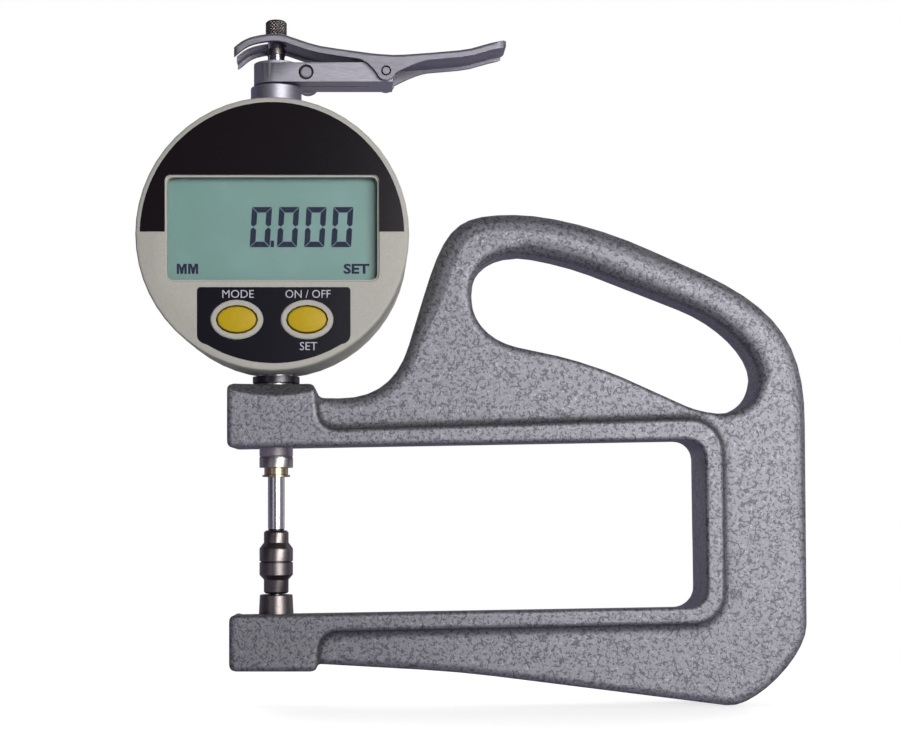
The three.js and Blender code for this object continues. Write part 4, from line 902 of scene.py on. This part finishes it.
left, bottom = from_picture(UNIT_ACROSS[0], UNIT_DOWN[1], LCD_Y)
right, top = from_picture(UNIT_ACROSS[1], UNIT_DOWN[0], LCD_Y)
wide = (right - left) * LETTER_SHARE
letters = [letter_m(x, bottom, wide, top - bottom) for x in (left, right - wide)]
flat_film("word_mm", letters, LCD_Y - INK_PROUD, INK_THICKNESS, ink_crystal)

# %% [markdown]
# The other words are plain function names, set in a sans-serif face. Each is
# made from a text object and fitted to the width and height of the printed
# word, which are given as pixels of the picture.

# %% Words on the display and the key panel
PRINT_PROUD = 0.07
TEXT_SIZE = 10


def word(name, text, across, down, surface_y, material, slot, weight=0.0):
    """A word on a surface, as tall and wide as the printed one."""
    data = bpy.data.curves.new(name, "FONT")
    data.body = text
    data.size = TEXT_SIZE * MM
    data.offset = weight * MM
    data.resolution_u = 3
    mesh = mesh_of(data, f"{name}_text")
    left, top = from_picture(across[0], down[0], surface_y)
    right, foot = from_picture(across[1], down[1], surface_y)
    xs = [v.co.x for v in mesh.vertices]
    ys = [v.co.y for v in mesh.vertices]
    wide = (right - left) * MM / (max(xs) - min(xs))
    tall = (top - foot) * MM / (max(ys) - min(ys))
    mesh.transform(Matrix.Translation((-min(xs), -min(ys), 0)))
    mesh.transform(Matrix.Diagonal((wide, tall, 1, 1)))
    stand_up(name, mesh, left, surface_y, foot, material)


on_display = (LCD_Y - INK_PROUD, ink_crystal, "display")
on_face = (FACE_Y - PRINT_PROUD, ink_pale, "housing")
word("word_set_display", "SET", (343.5, 369.4), (263.7, 273.9), *on_display, weight=0.35)
word("word_mode", "MODE", (222.3, 253.8), (289.9, 297.9), *on_face)
word("word_on_off", "ON / OFF", (285.4, 330.6), (289.9, 297.9), *on_face)
word("word_set", "SET", (299.8, 317.2), (342.0, 350.2), *on_face)

# %% [markdown]
# The stage is a white sweep. The camera, reflections and panes see it nearly
# white, with a soft shade where the object comes close, and plain white
# farther off. Soft light meets a grey floor instead, so that the sweep
# doesn't light the object from below.

# %% Nearly white where it is seen
def seen_directly(tree):
    """One for a ray from the camera, off a gloss or through a pane, else nought."""
    path = add_node(tree, "ShaderNodeLightPath")
    seen = path.outputs["Is Camera Ray"]
    for ray in ("Is Glossy Ray", "Is Transmission Ray"):
        seen = add_node(
            tree, "ShaderNodeMath", links={0: seen, 1: path.outputs[ray]}, operation="MAXIMUM",
        ).outputs[0]
    return seen


WHITE = linear("#ffffff")
SWEEP_GREY = linear("#b3b3b3")
VEIL_GREY = linear("#aaaaaa")
SHADE_REACH = 0.12
sweep_material, tree, shader = new_material("white_sweep", Roughness=0.9, Base_Color=SWEEP_GREY)
open_sky = add_node(
    tree, "ShaderNodeAmbientOcclusion", values={"Distance": SHADE_REACH}, samples=16,
)
shade = add_node(
    tree, "ShaderNodeMapRange", values=dict(zip(RANGE, (0.4, 0.97, 0.74, 0.93))),
    links={"Value": open_sky.outputs["AO"]}, interpolation_type="SMOOTHSTEP",
)
glow = add_node(
    tree, "ShaderNodeEmission", values={"Color": WHITE},
    links={"Strength": shade.outputs["Result"]},
)
veil = add_node(tree, "ShaderNodeBsdfDiffuse", values={"Color": VEIL_GREY})
near = add_node(tree, "ShaderNodeAddShader", links={0: glow.outputs[0], 1: veil.outputs[0]})
far = add_node(tree, "ShaderNodeEmission", values={"Color": WHITE, "Strength": 1.0})
print("stage material:", sweep_material.name)

# %% [markdown]
# The shaded part of the sweep is an oval under the object, longer along the
# gauge than across it, and it fades into plain white.

# %% Sweep under the object
FLOOR_HALF = 30.0
FLOOR_Z = cad_box[0][2] - 0.2 * MM
place = add_node(tree, "ShaderNodeTexCoord")
squeezed = add_node(
    tree, "ShaderNodeMapping", values={"Location": (-0.025, 0.0, 0.0), "Scale": (0.4, 1.0, 0.0)},
    links={"Vector": place.outputs["Object"]},
)
away = add_node(
    tree, "ShaderNodeVectorMath", links={0: squeezed.outputs["Vector"]}, operation="LENGTH",
)
fade = add_node(
    tree, "ShaderNodeMapRange", values=dict(zip(RANGE, (0.03, 0.12, 0.0, 1.0))),
    links={"Value": away.outputs["Value"]}, interpolation_type="SMOOTHSTEP",
)
lifted = add_node(
    tree, "ShaderNodeMixShader",
    links={0: fade.outputs["Result"], 1: near.outputs[0], 2: far.outputs[0]},
)
sweep = add_node(
    tree, "ShaderNodeMixShader",
    links={0: seen_directly(tree), 1: shader.outputs["BSDF"], 2: lifted.outputs[0]},
)
tree.links.new(sweep.outputs[0], tree.nodes["Material Output"].inputs["Surface"])
floor_mesh = bpy.data.meshes.new("floor")
floor_mesh.from_pydata(
    [(x * FLOOR_HALF, y * FLOOR_HALF, FLOOR_Z) for x, y in ((-1, -1), (1, -1), (1, 1), (-1, 1))],
    [], [(0, 1, 2, 3)],
)
floor = bpy.data.objects.new("floor", floor_mesh)
scene.collection.objects.link(floor)
floor.data.materials.append(sweep_material)
floor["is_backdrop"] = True
print("floor at", round(FLOOR_Z / MM, 1), "mm")

# %% [markdown]
# Polished metal only shows its form when it has something to reflect. Dark
# cards in front, on the left and above give it depth, grey ones on the right
# soften it, violet ones behind and below tint its edges, and two pale strips
# draw the bright bands along round pieces. They are seen by reflections
# alone, so they never show in a view.

# %% Cards for the reflections
def card_tone(name, colour):
    """A card of one even tone, which needs no light."""
    material, tree, shader = new_material(name)
    even = add_node(tree, "ShaderNodeEmission", values={"Color": linear(colour), "Strength": 1.0})
    tree.links.new(even.outputs[0], tree.nodes["Material Output"].inputs["Surface"])
    return material


def card(name, material, place, width, tall, tilt, turn):
    """A card that faces the object, seen by reflections alone."""
    mesh = bpy.data.meshes.new(name)
    x, z = width / 2, tall / 2
    mesh.from_pydata([(-x, 0, -z), (x, 0, -z), (x, 0, z), (-x, 0, z)], [], [(0, 1, 2, 3)])
    made = bpy.data.objects.new(name, mesh)
    made.location = place
    made.rotation_euler = (math.radians(tilt), 0, math.radians(turn))
    scene.collection.objects.link(made)
    made.data.materials.append(material)
    made.visible_camera = False
    made.visible_diffuse = False
    made.visible_shadow = False
    made.visible_transmission = False
    made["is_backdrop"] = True


dark_card = card_tone("dark_card", "#47444f")
grey_card = card_tone("grey_card", "#b4b2b8")
pale_card = card_tone("pale_card", "#f4f2f8")
violet_card = card_tone("violet_card", "#8a849f")
UNDER = FLOOR_Z + 0.1 * MM
cards = {
    "card_front": (dark_card, (-0.35, -1.4, 0.45), 1.5, 1.8, 0, 0),
    "card_strip_left": (pale_card, (-0.46, -0.62, 0.05), 0.24, 0.3, 0, -38),
    "card_strip": (pale_card, (0.62, -0.55, 0.06), 0.4, 0.14, 0, 48),
    "card_front_right": (grey_card, (0.85, -1.1, 0.4), 0.9, 1.8, 0, 37),
    "card_right": (grey_card, (1.35, -0.1, 0.4), 1.2, 1.6, 0, -85),
    "card_left": (dark_card, (-1.2, -0.5, 0.4), 1.9, 1.8, 0, 112),
    "card_back_left": (violet_card, (-0.9, 0.9, 0.5), 2.4, 2.2, 0, 45),
    "card_back": (violet_card, (0.0, 1.3, 0.9), 4.0, 2.2, 0, 0),
    "card_above": (dark_card, (0.0, -0.55, 0.9), 2.2, 1.8, 90, 0),
    "card_below": (violet_card, (0.0, -0.4, UNDER), 2.6, 2.0, 90, 0),
}
for name, settings in cards.items():
    card(name, *settings)
print("cards:", len(cards))

# %% [markdown]
# One soft lamp stands in front, low and to the right, so that a colour
# renders about as it is written. Two wider lamps behind, farther off and left
# out of the reflections, light the back.

# %% Lamps
AIM = (0.045, 0.0, 0.07)
lamps = {
    "key": ((0.335, -0.705, 0.15), 0.5, 0.28, 6.1),
    "back_left": ((-0.4, 0.75, 0.35), 0.6, 0.4, 6.0),
    "back_right": ((0.6, 0.62, 0.35), 0.6, 0.4, 6.0),
}
for name, (place, width, depth, power) in lamps.items():
    data = bpy.data.lights.new(name, "AREA")
    data.shape = "RECTANGLE"
    data.size = width
    data.size_y = depth
    data.energy = power
    made = bpy.data.objects.new(name, data)
    made.location = place
    made.rotation_euler = (Vector(AIM) - Vector(place)).to_track_quat("-Z", "Y").to_euler()
    made.visible_glossy = name == "key"
    scene.collection.objects.link(made)
print("lamps:", len(lamps))

# %% [markdown]
# A dim violet world lifts the shadows. Like the sweep, it is plain white
# where the camera, a reflection or a pane looks at it.

# %% World
world = bpy.data.worlds.new("studio")
scene.world = world
world.use_nodes = True
tree = world.node_tree
tree.nodes.clear()
dim = add_node(tree, "ShaderNodeBackground", values={"Color": linear("#aaa6c0"), "Strength": 0.1})
white = add_node(tree, "ShaderNodeBackground", values={"Color": WHITE, "Strength": 1.0})
sky = add_node(
    tree, "ShaderNodeMixShader",
    links={0: seen_directly(tree), 1: dim.outputs[0], 2: white.outputs[0]},
)
add_node(tree, "ShaderNodeOutputWorld", links={"Surface": sky.outputs[0]})
scene.view_settings.view_transform = "Standard"
print("world:", world.name, "seen with", scene.view_settings.view_transform)

# %% [markdown]
# Both boxes, of the imported model and of the dressed part, are printed.

# %% Measure and finish
seen_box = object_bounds()
for label, low, high in (("cad", *cad_box), ("visual", *seen_box)):
    print(label, [round(v / MM, 1) for v in low], [round(v / MM, 1) for v in high])
